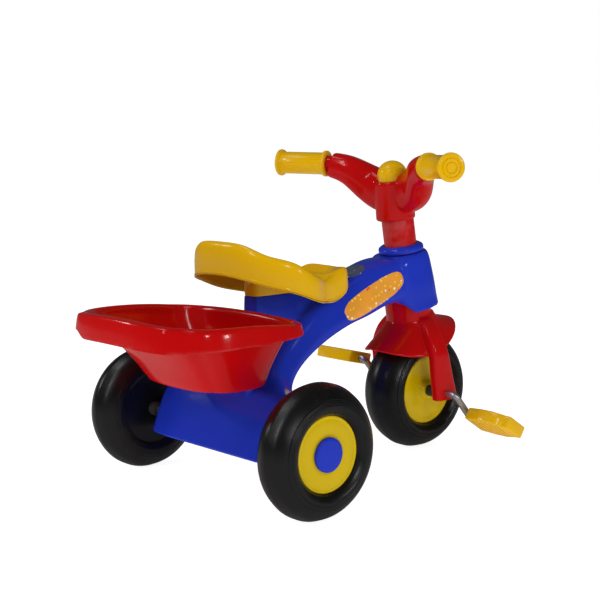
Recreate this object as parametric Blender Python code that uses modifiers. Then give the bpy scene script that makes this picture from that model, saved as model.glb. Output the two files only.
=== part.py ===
"""Children's tricycle: a moulded frame on two rear wheels, with a pedalled front wheel that is steered.

Millimetres in the tables below, metres in the model. +Z is up, -Y is forward, +X is the rider's left.
Everything hangs on an empty on the ground under the rear axle, which is set so that the model's
origin lies on the ground in the middle of its footprint. In the tables y is measured from that axle.
"""
import math

import bmesh
import bpy
import numpy as np
from mathutils import Matrix, Vector

MM = 0.001
GAP = 0.3                      # clearance between touching pieces

# --- driving dimensions -------------------------------------------------------------------------
REAR_AXLE_OFFSET = 137.2       # rear axle behind the model's origin
REAR_R = 87.5                  # rear wheel radius
FRONT_R = 89.0                 # front wheel radius
HALF_TRACK = 186.5             # middle of a rear tyre from the centre plane
WHEELBASE = 365.3
TYRE_BORE = 49.0               # radius of the recess that a rear hub cover sits in
FRONT_BORE = 51.0              # the same in the front wheel
AXLE_R = 5.0                   # steel rods
RAKE = math.radians(9.0)       # the steering axis leans back by this much
STEER_Y = -329.5               # where the steering axis passes at STEER_Z
STEER_Z = 350.0
WALL = 3.0                     # wall of the frame moulding
STEM_R = 24.0
NECK_R = 34.0
CUP_R = 28.0
GRIP_R = 16.5
CRANK_THROW = 50.6             # pedal spindle from the front axle
CRANK_ANGLE = math.radians(50.5)
CRANK_X = 79.5                 # plane of a crank arm
CRANK_FLOAT = -4.0             # the bent axle has slid this far along its end play
PEDAL_X = 89.5                 # inner face of a pedal
PEDAL_PITCH = {1: math.radians(14.0), -1: math.radians(34.0)}   # left, right
HUB_X = 24.5                   # face of a front hub cover
SEGMENTS = 24                  # round of a wheel

RED = (0.72, 0.012, 0.012)
BLUE = (0.035, 0.055, 0.56)
YELLOW = (0.86, 0.55, 0.005)
BLACK = (0.012, 0.012, 0.012)
STEEL = (0.55, 0.56, 0.58)
NYLON = (0.03, 0.03, 0.032)

for old in list(bpy.data.objects):
    bpy.data.objects.remove(old, do_unlink=True)

tricycle = bpy.data.collections.new("tricycle")
cutters = bpy.data.collections.new("cutters")
bpy.context.scene.collection.children.link(tricycle)
bpy.context.scene.collection.children.link(cutters)


# --- making and placing --------------------------------------------------------------------------
def finish(obj, colour, roughness=0.25, metallic=0.0):
    """Give a piece its own material and smooth shading with sharp edges kept."""
    mat = bpy.data.materials.new(obj.name)
    mat.use_nodes = True
    shader = mat.node_tree.nodes["Principled BSDF"]
    shader.inputs["Base Color"].default_value = (*colour, 1.0)
    shader.inputs["Roughness"].default_value = roughness
    shader.inputs["Metallic"].default_value = metallic
    obj.data.materials.clear()
    obj.data.materials.append(mat)
    obj.data.shade_smooth()
    obj.data.set_sharp_from_angle(angle=math.radians(35))


def add(name, bm, parent, colour=None, **look):
    """Make an object from a bmesh in millimetres; without a colour it is a cutter or a guide."""
    bmesh.ops.scale(bm, vec=(MM, MM, MM), verts=bm.verts)
    mesh = bpy.data.meshes.new(name)
    bm.to_mesh(mesh)
    bm.free()
    obj = bpy.data.objects.new(name, mesh)
    (tricycle if colour else cutters).objects.link(obj)
    obj.parent = parent
    if colour:
        finish(obj, colour, **look)
    else:
        obj.hide_render = True
        obj.display_type = "WIRE"
    return obj


def empty(name, parent=None, at=(0, 0, 0), turn=(0, 0, 0)):
    obj = bpy.data.objects.new(name, None)
    tricycle.objects.link(obj)
    obj.parent = parent
    obj.location = Vector(at) * MM
    obj.rotation_euler = turn
    return obj


def boolean(obj, other, operation):
    mod = obj.modifiers.new(operation.lower() + " " + other.name, "BOOLEAN")
    mod.operation = operation
    mod.object = other
    mod.solver = "EXACT"


def cut(obj, *others):
    for other in others:
        boolean(obj, other, "DIFFERENCE")


def join(obj, *others):
    for other in others:
        boolean(obj, other, "UNION")


def solidify(obj, thickness):
    mod = obj.modifiers.new("wall", "SOLIDIFY")
    mod.thickness = thickness * MM
    mod.offset = -1.0
    mod.use_even_offset = True


def lathe(name, profile, parent, colour=None, at=(0, 0, 0), turn=(0, 0, 0), steps=SEGMENTS, **look):
    """Turn a profile of (radius, height) points about its own Z.

    A profile with both ends on the axis stays open, and any other is closed into a ring.
    """
    solid = profile[0][0] == 0 and profile[-1][0] == 0
    area = sum(a[0] * b[1] - b[0] * a[1] for a, b in zip(profile, profile[1:] + profile[:1]))
    if area > 0:
        profile = profile[::-1]
    bm = bmesh.new()
    verts = [bm.verts.new((r, 0, h)) for r, h in profile]
    for a, b in zip(verts, verts[1:]):
        bm.edges.new((a, b))
    if not solid:
        bm.edges.new((verts[-1], verts[0]))
    obj = add(name, bm, parent, colour, **look)
    obj.location = Vector(at) * MM
    obj.rotation_euler = turn
    screw = obj.modifiers.new("turn", "SCREW")
    screw.axis = "Z"
    screw.steps = screw.render_steps = steps
    screw.use_merge_vertices = True
    screw.merge_threshold = 0.00001
    screw.use_smooth_shade = True
    return obj


def rod(name, start, end, radius, parent, colour=None, steps=16, **look):
    """A straight round bar between two points."""
    start, end = Vector(start), Vector(end)
    length = (end - start).length
    turn = (end - start).to_track_quat("Z", "Y").to_euler()
    profile = [(0, length), (radius, length), (radius, 0), (0, 0)]
    return lathe(name, profile, parent, colour, start, turn, steps, **look)


def spline(rows, steps, closed=False):
    """Rows of a Catmull-Rom curve through the given rows, with the given steps in each span."""
    rows = np.array(rows, float)
    count = len(rows)
    out = []
    for i in range(count if closed else count - 1):
        if closed:
            p = [rows[(i + k) % count] for k in (-1, 0, 1, 2)]
        else:
            p = [rows[max(i - 1, 0)], rows[i], rows[i + 1], rows[min(i + 2, count - 1)]]
        for t in np.arange(steps) / steps:
            out.append(0.5 * (2 * p[1] + (p[2] - p[0]) * t + (2 * p[0] - 5 * p[1] + 4 * p[2] - p[3]) * t ** 2
                              + (3 * p[1] - p[0] - 3 * p[2] + p[3]) * t ** 3))
    if not closed:
        out.append(rows[-1])
    return np.array(out)


def oval(count, power):
    """Unit superellipse: count pairs (u, v), starting on +u and turning towards +v."""
    angles = 2 * math.pi * np.arange(count) / count
    c, s = np.cos(angles), np.sin(angles)
    return np.stack([np.sign(c) * np.abs(c) ** (2 / power), np.sign(s) * np.abs(s) ** (2 / power)], 1)


def skin(rings, caps=(True, True), pole=None):
    """Join rings of points into a bmesh; pole closes the last ring to one point."""
    bm = bmesh.new()
    rows = [[bm.verts.new(p) for p in ring] for ring in rings]
    for low, high in zip(rows, rows[1:]):
        for i in range(len(low)):
            j = (i + 1) % len(low)
            bm.faces.new((low[i], low[j], high[j], high[i]))
    if caps[0]:
        bm.faces.new(rows[0][::-1])
    if pole is not None:
        tip = bm.verts.new(pole)
        last = rows[-1]
        for i in range(len(last)):
            bm.faces.new((last[i], last[(i + 1) % len(last)], tip))
    elif caps[1]:
        bm.faces.new(rows[-1])
    return bm


def outward(bm):
    bmesh.ops.recalc_face_normals(bm, faces=bm.faces)
    return bm


def sweep(stations, power, count=16, steps=2):
    """Skin ovals along a path; each station is x, y, z, half height, half thickness."""
    rows = spline(stations, steps)
    unit = oval(count, power)
    rings = []
    for i, row in enumerate(rows):
        here = Vector(row[:3])
        ahead = Vector(rows[min(i + 1, len(rows) - 1)][:3]) - Vector(rows[max(i - 1, 0)][:3])
        ahead.normalize()
        across = ahead.cross(Vector((0, 0, 1))) if abs(ahead.z) < 0.8 else ahead.cross(Vector((1, 0, 0)))
        across.normalize()
        up = across.cross(ahead)
        rings.append([here + up * (u * row[3]) + across * (v * row[4]) for u, v in unit])
    return outward(skin(rings))


def prism(outline, low, high, bevel=0.0):
    """An outline of (x, y) points raised from z = low to z = high, with its edges rounded."""
    bm = bmesh.new()
    face = bm.faces.new([bm.verts.new((x, y, low)) for x, y in outline])
    raised = bmesh.ops.extrude_face_region(bm, geom=[face])
    verts = [item for item in raised["geom"] if isinstance(item, bmesh.types.BMVert)]
    bmesh.ops.translate(bm, vec=(0, 0, high - low), verts=verts)
    outward(bm)
    if bevel:
        bmesh.ops.bevel(bm, geom=bm.edges[:], offset=bevel, segments=2, affect="EDGES", profile=0.5)
    return bm


TO_X = (0, math.pi / 2, 0)       # turns a lathe's Z onto +X
TO_MINUS_X = (0, -math.pi / 2, 0)

axle_ground = empty("axle_ground", at=(0, REAR_AXLE_OFFSET, 0))
steer_axis = empty("steer_axis", axle_ground, (0, STEER_Y, STEER_Z), (-RAKE, 0, 0))
steer_level = empty("steer_level", steer_axis, turn=(RAKE, 0, 0))
front_axle = empty("front_axle", steer_level, (0, -WHEELBASE - STEER_Y, FRONT_R - STEER_Z))


def along(z):
    """Distance up the steering axis, from its reference point, at which it reaches height z."""
    return (z - STEER_Z) / math.cos(RAKE)


def axis_y(z):
    """Where the steering axis is, behind the rear axle line, at height z."""
    return STEER_Y + (z - STEER_Z) * math.tan(RAKE)


def level(points):
    """Rows that start with x, y, z, measured from steer_level instead of the rear axle's ground point."""
    return [(x, y - STEER_Y, z - STEER_Z, *rest) for x, y, z, *rest in points]


# --- frame ----------------------------------------------------------------------------------------
# Each station cuts the arch across: the point on its underside, the point on its outer side, and half
# the width at each.
ARCH = [
    # under y, z      outer y, z   half widths
    (-346, 226, -346, 289, 38, 33),
    (-289, 226, -289, 293, 39, 32),
    (-242, 213, -240, 282.5, 39.5, 28),
    (-203, 203.5, -192, 263.5, 40, 27),
    (-164, 188.5, -146, 246, 40, 30),
    (-129.5, 170, -104, 216, 40, 31),
    (-105.5, 151.5, -74, 188, 41, 34),
    (-91, 133, -50, 164, 44, 46),
    (-85, 118, -31, 151, 56, 80),
    (-80, 104, -10, 145.5, 86, 118),
    (-76, 92, 0, 128, 118, 148),
    (-70, 80, 11, 105, 140, 152),
    (-62, 61, 28, 61, 152, 152),
]
# Upright that carries the seat: y, half width at the foot, half width at the top
UPRIGHT = [(-47, 17, 12.5), (-50, 18, 13.5), (-90, 20, 14.5), (-130, 21, 15.5), (-188, 23, 17), (-192, 21, 15)]
UPRIGHT_FOOT = ((-190, -110, -47), (240, 195, 152))    # y, and height of the foot inside the arch there
UPRIGHT_TOP = 260.8
# Height where the steering axis crosses, reach ahead of the axis, reach behind it, half width
HEAD = [
    (214.5, 43, 45, 42.5),
    (218.5, 43, 45, 42),
    (230, 41.8, 45, 41.2),
    (252, 40.5, 45, 40.5),
    (276, 38.5, 45, 38.5),
    (289, 37, 43, 37),
    (296, 35.5, 39, 34.5),
    (299, 33, 34, 31),
]
# Side view (y, z) of what is cut out below the back of the head
NOTCH = [(-331, 200), (-329, 210), (-325, 215), (-309, 226), (-305, 227.5), (-270, 227.5), (-270, 200)]
TUBE_END = 243                   # lower end of the tube that holds the stem
DECK_POST = (45, -11, 148.6)       # posts under the basket: +-x, y, top


def arch_rings(inset, steps, tail=0.0):
    """Rings of the arch, shrunk by inset; tail carries the last ring on downwards."""
    rings = []
    rows = spline(ARCH, steps)
    for i, (uy, uz, oy, oz, under, outer) in enumerate(rows):
        power = 4.0 + 2.0 * min(max((i / steps - 6) / 4, 0), 1)
        low, high = Vector((0, uy, uz)), Vector((0, oy, oz))
        half = (high - low).length / 2
        up = (high - low).normalized()
        middle = (low + high) / 2
        ring = []
        for u, v in oval(18, power):
            width = under + (outer - under) * (v + 1) / 2 - inset
            ring.append(middle + Vector((u * width, 0, 0)) + up * (v * (half - inset)))
        rings.append(ring)
    if tail:
        rings.append([p + Vector((0, 0, -tail)) for p in rings[-1]])
    return rings


def upright_rings(inset):
    foot_ring, top_ring = [], []
    for side, rows in ((1, UPRIGHT), (-1, UPRIGHT[::-1])):
        for y, foot, top in rows:
            y = min(max(y, -190 + inset), -47 - inset)
            foot_ring.append((side * (foot - inset), y, float(np.interp(y, *UPRIGHT_FOOT))))
            top_ring.append((side * (top - inset), y, UPRIGHT_TOP - inset))
    return [foot_ring, top_ring]


def head_rings(inset, tail, top):
    """Rings of the head, square to the steering axis: round at the nose, boxy at the back."""
    rings = []
    for z, ahead, behind, half in [row for row in HEAD if row[0] <= top]:
        ring = []
        for (u, v), (p, q) in zip(oval(20, 2.6), oval(20, 4.0)):
            if v < 0:
                ring.append((u * (half - inset), v * (ahead - inset), along(z)))
            else:
                ring.append((p * (half - inset), q * (behind - inset), along(z)))
        rings.append(ring)
    if tail:
        rings.insert(0, [(x, y, z - tail) for x, y, z in rings[0]])
    return rings


def build_frame():
    frame = add("main_frame", outward(skin(arch_rings(0, 2))), axle_ground, BLUE)
    head = add("head block", outward(skin(head_rings(0, 0, 300))), steer_axis)
    upright = add("upright", outward(skin(upright_rings(0))), axle_ground)
    cavity = add("arch cavity", outward(skin(arch_rings(WALL, 2, tail=20))), axle_ground)
    room = add("head cavity", outward(skin(head_rings(WALL, 20, 290))), steer_axis)
    inside = add("upright cavity", outward(skin(upright_rings(WALL))), axle_ground)
    tube = rod("stem tube", (0, 0, along(TUBE_END)), (0, 0, along(301)), STEM_R + 4.5, steer_axis, steps=32)
    bore = rod("stem bore", (0, 0, along(TUBE_END) - 5), (0, 0, along(320)), STEM_R + 0.5, steer_axis, steps=32)
    axle_hole = rod("axle hole", (-200, 0, REAR_R), (200, 0, REAR_R), AXLE_R + GAP, axle_ground)
    notch = add("notch", prism([(z, y) for y, z in NOTCH], -60, 60), axle_ground)
    notch.matrix_local = Matrix(((0, 0, 1, 0), (0, 1, 0, 0), (1, 0, 0, 0), (0, 0, 0, 1)))
    join(cavity, room, inside)
    cut(cavity, tube)
    cut(head, notch)
    join(frame, head, upright)
    cut(frame, cavity, bore, axle_hole)
    for y in SEAT_SCREWS:
        cut(frame, rod(f"seat hole {y}", (0, y, 245), (0, y, 266), 2.5, axle_ground, steps=12))
    for side in (-1, 1):
        x, y, top = DECK_POST
        profile = [(0, top), (8, top), (8, top - 26), (0, top - 26)]
        join(frame, lathe(f"deck post {side}", profile, axle_ground, None, (side * x, y, 0), steps=14))
        hole = [(0, top + 5), (2.5, top + 5), (2.5, top - 8), (5, top - 8), (5, top - 40), (0, top - 40)]
        cut(frame, lathe(f"deck hole {side}", hole, axle_ground, None, (side * x, y, 0), steps=12))
    return frame


def build_head_fittings():
    low, high = along(300.5), along(311)
    inner, outer = STEM_R + 0.5, 33.5
    profile = [(inner, low), (outer - 1.5, low), (outer, low + 2), (outer, high - 6), (outer - 1.5, high - 3),
               (outer - 5, high - 1), (inner + 1.5, high), (inner, high - 1.5)]
    lathe("head_collar", profile, steer_axis, BLUE)
    low, high = along(TUBE_END) - 3.0 - GAP, along(TUBE_END) - GAP
    lathe("steering_washer", [(STEM_R + 0.5, low), (30, low), (30, high), (STEM_R + 0.5, high)], steer_axis,
          NYLON, steps=24, roughness=0.5)


# --- seat -----------------------------------------------------------------------------------------
# Half of the outline from the middle of the back to the nose: x, y, lower edge, rim
SEAT = [
    (0, 6, 296.5, 338.5),
    (45, 3, 293.5, 337.5),
    (78.5, -13.5, 285, 328),
    (102, -44, 275, 311.5),
    (104.5, -76, 263, 297.5),
    (87, -106, 256, 287),
    (59, -134, 251, 279),
    (46, -164, 249, 281),
    (38.5, -192, 259, 290.5),
    (19, -209, 275, 289),
    (0, -214, 280, 287.5),
]
SEAT_MIDDLE = (0, -88, 283)
SEAT_WALL = 2.6
SEAT_FOOT = 261.2                # where the seat stands on the frame
SEAT_SCREWS = (-72, -116)
# Shrink towards the middle, share of the way up the skirt, drop below the rim
SEAT_RINGS = [
    (1.0, 0.0, 0),
    (0.995, 0.5, 0),
    (0.98, 0.88, 0),
    (0.93, 1.0, 0),
    (0.86, 1.0, 2),
    (0.74, 1.0, 7),
]


def seat_surface(steps):
    """Rings of the seat from the skirt's lower edge, over the rim and down into the dished top."""
    half = SEAT + [(-x, y, low, rim) for x, y, low, rim in SEAT[-2:0:-1]]
    rows = spline(half, steps, closed=True)
    rings = []
    cx, cy, cz = SEAT_MIDDLE
    for shrink, share, drop in SEAT_RINGS:
        ring = []
        for x, y, low, rim in rows:
            ring.append((cx + (x - cx) * shrink, cy + (y - cy) * shrink, low + (rim - low) * share - drop))
        rings.append(ring)
    for shrink in (0.55, 0.34, 0.14):
        ring = []
        for x, y, low, rim in rows:
            depth = cz + (rim - 7 - cz) * (shrink / 0.74) ** 1.6
            ring.append((cx + (x - cx) * shrink, cy + (y - cy) * shrink, depth))
        rings.append(ring)
    return rings


def build_seat():
    bm = skin(seat_surface(2), caps=(False, False), pole=SEAT_MIDDLE)
    for face in bm.faces:
        face.normal_flip()
    seat = add("seat", bm, axle_ground, YELLOW)
    solidify(seat, SEAT_WALL)
    low, high = SEAT_FOOT, SEAT_MIDDLE[2] - 1.5
    centre = Vector((0, -92, 0))
    outer = [[centre + Vector((u * 16, v * 46, z)) for u, v in oval(20, 5)] for z in (low, high)]
    inner = [[centre + Vector((u * 13, v * 43, z)) for u, v in oval(20, 5)] for z in (low - 5, high - 2)]
    collar = add("seat collar", outward(skin(outer)), axle_ground)
    cut(collar, add("seat collar room", outward(skin(inner)), axle_ground))
    join(seat, collar)
    for y in SEAT_SCREWS:
        join(seat, rod(f"seat post {y}", (0, y, low), (0, y, high), 6, axle_ground, steps=12))
        cut(seat, rod(f"seat pilot {y}", (0, y, low - 5), (0, y, low + 17), 2.4, axle_ground, steps=12))


def build_screws():
    """Pan-headed screws, heads down: two up into the seat and two up into the basket."""
    def profile(length):
        return [(0, 2.6), (3.0, 2.6), (4.2, 1.0), (4.2, 0), (2.0, 0), (2.0, -length), (0, -length)]

    for name, y in zip(("seat_screw_rear", "seat_screw_front"), SEAT_SCREWS):
        lathe(name, profile(18), axle_ground, STEEL, (0, y, UPRIGHT_TOP - WALL - GAP), (math.pi, 0, 0), 12,
              roughness=0.35, metallic=1.0)
    x, y, top = DECK_POST
    for name, side in (("basket_screw_left", 1), ("basket_screw_right", -1)):
        lathe(name, profile(13), axle_ground, STEEL, (side * x, y, top - 8 - GAP), (math.pi, 0, 0), 12,
              roughness=0.35, metallic=1.0)


# --- basket ---------------------------------------------------------------------------------------
BASKET_WALL = 2.4
# Half width, front y, back y, corner power at the front and back, height of the rim or wall there
BASKET = [
    (82, -18.5, 78.5, 2.7, 2.7, 156.0),
    (86.5, -22.5, 83, 2.7, 2.7, 157.0),
    (90, -25, 86.5, 2.75, 2.75, 161.0),
    (99, -27.5, 101, 3.1, 3.0, 184.0),
    (114, -31, 126.5, 3.8, 3.0, 216.0),
    (126.5, -33.5, 150, 4.7, 3.0, 240.0),
    (129.5, -34.5, 156, 5.2, 3.0, 248.7),
    (133.5, -37, 162.5, 5.4, 3.0, 252.8),
    (139.5, -41.5, 171, 5.6, 3.0, 252.2),
    (142.5, -43.5, 174, 5.6, 3.0, 246.5),
    (145.5, -45.5, 177, 5.6, 3.0, 227.5),
]
FOLD_AT = 0.80                   # where the back panel's folds are, as a share of the half width
FOLD_DEPTH = 4.5
SKIRT = 8                        # first row of the outer skirt


def basket_rings(count):
    """Rings from the floor up the walls, over the rim and down the skirt, with two folds at the back."""
    rings = []
    for number, (half, front, back, power_front, power_back, z) in enumerate(BASKET):
        ring = []
        middle, reach = (front + back) / 2, (back - front) / 2
        grown = min(max((z - 158) / 85, 0), 1)
        for (u, v), (p, q) in zip(oval(count, power_front), oval(count, power_back)):
            if v > 0:
                u, v = p, q
            x, y = u * half, middle + v * reach
            if v > 0:
                fold = FOLD_DEPTH * (0.4 + 0.6 * grown) * math.exp(-((abs(u) - FOLD_AT) / 0.075) ** 2)
                panel = 3.5 * grown * (1 - min(max((abs(u) - FOLD_AT + 0.04) / 0.1, 0), 1))
                x -= fold * u * 0.7
                y += panel - fold
            rise = grown * (4.9 * v - 5.8 * u * u - 6.6 * v * v)
            rise += grown * 4.5 * max(v, 0) ** 3 * (1 - abs(u) ** 3)
            if number > SKIRT:
                corner = min(max((-v - 0.2) / 0.7, 0), 1)
                beyond = min(max((abs(u) - FOLD_AT + 0.04) / 0.12, 0), 1)
                rise += (number - SKIRT) / 2 * (11 * corner + (9 * beyond - 7) * max(v, 0))
            ring.append((x, y, z + rise))
        rings.append(ring)
    return rings


def build_basket():
    bm = skin(basket_rings(40), caps=(True, False))
    for face in bm.faces:
        face.normal_flip()
    basket = add("basket", bm, axle_ground, RED)
    solidify(basket, BASKET_WALL)
    x, y, top = DECK_POST
    for side in (-1, 1):
        boss = [(0, 154.8), (8, 154.8), (8, top + GAP), (2.3, top + GAP), (2.3, top + 5), (0, top + 5)]
        join(basket, lathe(f"basket boss {side}", boss, axle_ground, None, (side * x, y, 0), steps=14))


# --- wheels ---------------------------------------------------------------------------------------
# Outside of a tyre from its bore to its tread: radius, half width
TYRE = [(49.0, 21.3), (52.5, 25.8), (59.5, 29.5), (67.5, 28.2), (76, 22.6), (83, 14.8), (87.5, 4.0)]


def tyre_profile(radius, bore, stretch, web_in, web_out):
    """Closed profile (radius, height) of a hollow blown wheel whose hollow opens onto its axle.

    web_in and web_out are the heights of its two side faces; hub covers sit against them.
    """
    wall, hole = 3.0, AXLE_R + GAP
    side = [(bore + (r - TYRE_BORE) * (radius - bore) / 38.5, h * stretch) for r, h in TYRE]
    lip = side[0][0]
    inboard = [(r, -h) for r, h in side]
    inside = [(r - wall * 0.4 if r < 62 else r - wall, h - wall) for r, h in side[1:-1:2]]
    inside = [(r, h) for r, h in inside if h > 0]
    start = [(hole, web_in), (lip, web_in)]
    if abs(web_in + side[0][1]) < 1.0:
        inboard = inboard[1:]
    back = [(lip, web_out), (hole, web_out), (hole, web_out - wall), (lip, web_out - wall)]
    close = [(lip, web_in + wall), (hole, web_in + wall)]
    return start + inboard + side[::-1] + back + inside + [(r, -h) for r, h in inside[::-1]] + close


def build_rear_wheel(side, word):
    """side is +1 on the rider's left; the wheel turns on an empty at its own middle."""
    hub = empty(f"rear_axle_{word}", axle_ground, (side * HALF_TRACK, 0, REAR_R), TO_X if side > 0 else TO_MINUS_X)
    lathe(f"rear_tyre_{word}", tyre_profile(REAR_R, TYRE_BORE, 1.0, -20.9, 18.0), hub, BLACK, roughness=0.35)
    edge = TYRE_BORE - GAP
    cover = [(12, 18.3), (edge, 18.3), (edge, 20.4), (edge - 0.6, 21.0), (25, 21.0), (24, 20.6), (12, 20.6)]
    lathe(f"rear_hub_cover_{word}", cover, hub, YELLOW)
    cap = [(0, 26.0), (10, 25.9), (19, 25.4), (21.6, 24.6), (22.3, 23.4), (22.3, 20.9), (20, 20.9), (20, 23.2),
           (0, 23.2)]
    lathe(f"rear_cap_{word}", cap, hub, BLUE, steps=24)
    nut = [(AXLE_R + 0.1, 18.3), (10.5, 18.3), (10.5, 19.2), (8, 20.2), (AXLE_R + 0.1, 20.2)]
    lathe(f"rear_push_nut_{word}", nut, hub, STEEL, steps=16, roughness=0.35, metallic=1.0)
    spacer = [(AXLE_R + GAP, -HALF_TRACK + 152.4), (10, -HALF_TRACK + 152.4), (10, -21.2), (AXLE_R + GAP, -21.2)]
    lathe(f"rear_spacer_{word}", spacer, hub, NYLON, steps=16, roughness=0.5)


def build_front_wheel():
    web = 20.0
    profile = tyre_profile(FRONT_R, FRONT_BORE, 1.24, -web, web)
    lathe("front_tyre", profile, front_axle, BLACK, turn=TO_X, roughness=0.35)
    edge = FRONT_BORE - GAP
    hole = AXLE_R + 0.1
    cover = [(hole, web + GAP), (edge, web + GAP), (edge, HUB_X - 0.8), (edge - 0.8, HUB_X), (44, HUB_X),
             (37, HUB_X - 1.3), (17, HUB_X - 0.6), (14, HUB_X + 4), (11, HUB_X + 6), (hole, HUB_X + 6)]
    spacer = [(AXLE_R + GAP, HUB_X + 6.3), (8.5, HUB_X + 6.3), (8.5, 51.6), (AXLE_R + GAP, 51.6)]
    for word, turn in (("left", TO_X), ("right", TO_MINUS_X)):
        lathe(f"front_hub_cover_{word}", cover, front_axle, YELLOW, turn=turn)
        lathe(f"front_spacer_{word}", spacer, front_axle, NYLON, turn=turn, steps=16, roughness=0.5)


def crank_path(side):
    """Corners of one half of the bent axle, from the wheel's middle out to the pedal spindle's end."""
    y, z = side * CRANK_THROW * math.cos(CRANK_ANGLE), side * CRANK_THROW * math.sin(CRANK_ANGLE)
    return [(0, 0, 0), (side * CRANK_X, 0, 0), (side * (CRANK_X + 1), y, z), (side * (PEDAL_X + 58), y, z)]


def rounded(corners, radius, steps):
    """Replace each inner corner of a path by a run of points along a curve."""
    corners = [Vector(c) for c in corners]
    out = [corners[0]]
    for before, here, after in zip(corners, corners[1:], corners[2:]):
        start = here + (before - here).normalized() * radius
        end = here + (after - here).normalized() * radius
        for t in np.linspace(0, 1, steps):
            out.append(start * (1 - t) ** 2 + here * 2 * t * (1 - t) + end * t ** 2)
    out.append(corners[-1])
    return out


def build_crank():
    corners = crank_path(-1)[:0:-1] + crank_path(1)
    corners.remove((0, 0, 0))
    points = [point + Vector((CRANK_FLOAT, 0, 0)) for point in rounded(corners, 9.0, 6)]
    curve = bpy.data.curves.new("crank_axle", "CURVE")
    curve.dimensions = "3D"
    curve.bevel_depth = AXLE_R * MM
    curve.bevel_resolution = 3
    curve.use_fill_caps = True
    line = curve.splines.new("POLY")
    line.points.add(len(points) - 1)
    for spot, point in zip(line.points, points):
        spot.co = (*(point * MM), 1)
    tube = bpy.data.objects.new("crank path", curve)
    tricycle.objects.link(tube)
    evaluated = tube.evaluated_get(bpy.context.evaluated_depsgraph_get())
    mesh = bpy.data.meshes.new_from_object(evaluated)
    bpy.data.objects.remove(tube)
    bm = bmesh.new()
    bm.from_mesh(mesh)
    bmesh.ops.remove_doubles(bm, verts=bm.verts, dist=0.00001)
    bmesh.ops.scale(bm, vec=(1 / MM, 1 / MM, 1 / MM), verts=bm.verts)
    bpy.data.meshes.remove(mesh)
    add("crank_axle", bm, front_axle, STEEL, roughness=0.3, metallic=1.0)


# Half of a pedal's outline, from its inner face outwards: distance along the spindle, half depth
PEDAL = [(0, 22.2), (28, 27.4), (49, 27.4), (66, 21.6), (68, 20.2), (79, 19.2)]


def build_pedal(side, word):
    y, z = side * CRANK_THROW * math.cos(CRANK_ANGLE), side * CRANK_THROW * math.sin(CRANK_ANGLE)
    spindle = empty(f"pedal_axis_{word}", front_axle, (CRANK_FLOAT, y, z), (PEDAL_PITCH[side], 0, 0))
    ahead = [(side * (PEDAL_X + x), half) for x, half in PEDAL]
    behind = [(x, -half) for x, half in ahead[::-1]]
    pedal = add(f"pedal_{word}", prism(ahead + behind, -9.0, 9.0, 1.5), spindle, YELLOW)
    bore = rod(f"pedal bore {word}", (side * (PEDAL_X - 5), 0, 0), (side * (PEDAL_X + 60), 0, 0), AXLE_R + GAP,
               spindle)
    cut(pedal, bore)


# --- fork -----------------------------------------------------------------------------------------
# Mudguard around the fork's crown: height, how far the sides droop, reach to the side, reach fore and
# aft, upward slope towards the front
BRIM = [
    (205, 0, 33.5, 33.5, 0.14),
    (195, 6, 39, 41.5, 0.16),
    (187, 13, 46, 56, 0.18),
    (180.3, 19, 51.5, 70.5, 0.195),
    (175.5, 24, 55, 80.5, 0.203),
]
BRIM_Y = -357.0
LEG = [
    # x, y, z, half depth fore and aft, half thickness
    (24, -355, 200, 14, 7),
    (38, -353.5, 190, 14, 8),
    (51, -352, 173, 14, 8.5),
    (59.5, -354.5, 150, 16, 8.4),
    (60, -360.5, 116, 19, 8.3),
    (60, -368.5, 79.5, 22, 8.3),
]
CROWN_Z = 184.0


def brim_rings(count, wall):
    rings = []
    for height, droop, side_reach, end_reach, slope in BRIM:
        ring = []
        for u, v in oval(count, 2.0):
            z = height - droop * u * u - slope * v * end_reach - wall
            shrink = wall * 0.6
            ring.append((u * (side_reach - shrink), BRIM_Y + v * (end_reach - shrink), z))
        rings.append(ring)
    return rings


def build_fork():
    low, high = along(CROWN_Z), along(TUBE_END) - 3.0 - 2 * GAP
    socket = along(209)
    neck = [(0, socket), (STEM_R + GAP, socket), (STEM_R + GAP, high), (NECK_R, high), (NECK_R, low), (0, low)]
    fork = lathe("fork", neck, steer_axis, RED, steps=32)
    outer, inner = brim_rings(26, 0), brim_rings(26, WALL)
    brim = add("mudguard", outward(skin([level(ring) for ring in outer + inner[::-1]])), steer_level)
    join(fork, brim)
    for side in (-1, 1):
        stations = [(side * x, y, z, depth, thick) for x, y, z, depth, thick in LEG]
        join(fork, add(f"leg {side}", leg_mesh(stations), steer_level))
    hole = rod("fork hole", (-90, 0, 0), (90, 0, 0), AXLE_R + GAP, front_axle)
    cut(fork, hole)


def leg_mesh(stations):
    """Skin boxy rings down a leg; every ring is level across x and y below the shoulder."""
    rows = spline(stations, 2)
    rings = []
    for i, (x, y, z, depth, thick) in enumerate(rows):
        ahead = Vector(rows[min(i + 1, len(rows) - 1)][:3]) - Vector(rows[max(i - 1, 0)][:3])
        across = Vector((ahead.z, 0, -ahead.x)).normalized()
        ring = [Vector((x, y, z)) + across * (u * thick) + Vector((0, v * depth, 0)) for u, v in oval(12, 5)]
        rings.append(level([tuple(p) for p in ring]))
    return outward(skin(rings))


# --- handlebar ------------------------------------------------------------------------------------
ARM = [
    # x, y, z, half height, half thickness
    (0, -323, 386, 25, 19),
    (24, -326, 386.7, 28.7, 22),
    (48, -321, 398.8, 27.5, 22),
    (74, -303.5, 418.5, 21.9, 19.5),
    (98, -290, 427.2, 18.6, 17),
]
GRIP_START = Vector((104, -286.8, 428.7))
GRIP_END = Vector((178.5, -254.7, 430.4))
CUP_LOW, CUP_FLOOR, CUP_RIM = 347.0, 380.0, 407.0
HORN_R, HORN_TOP, HORN_TRAVEL = 21.6, 434.0, 6.0


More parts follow.
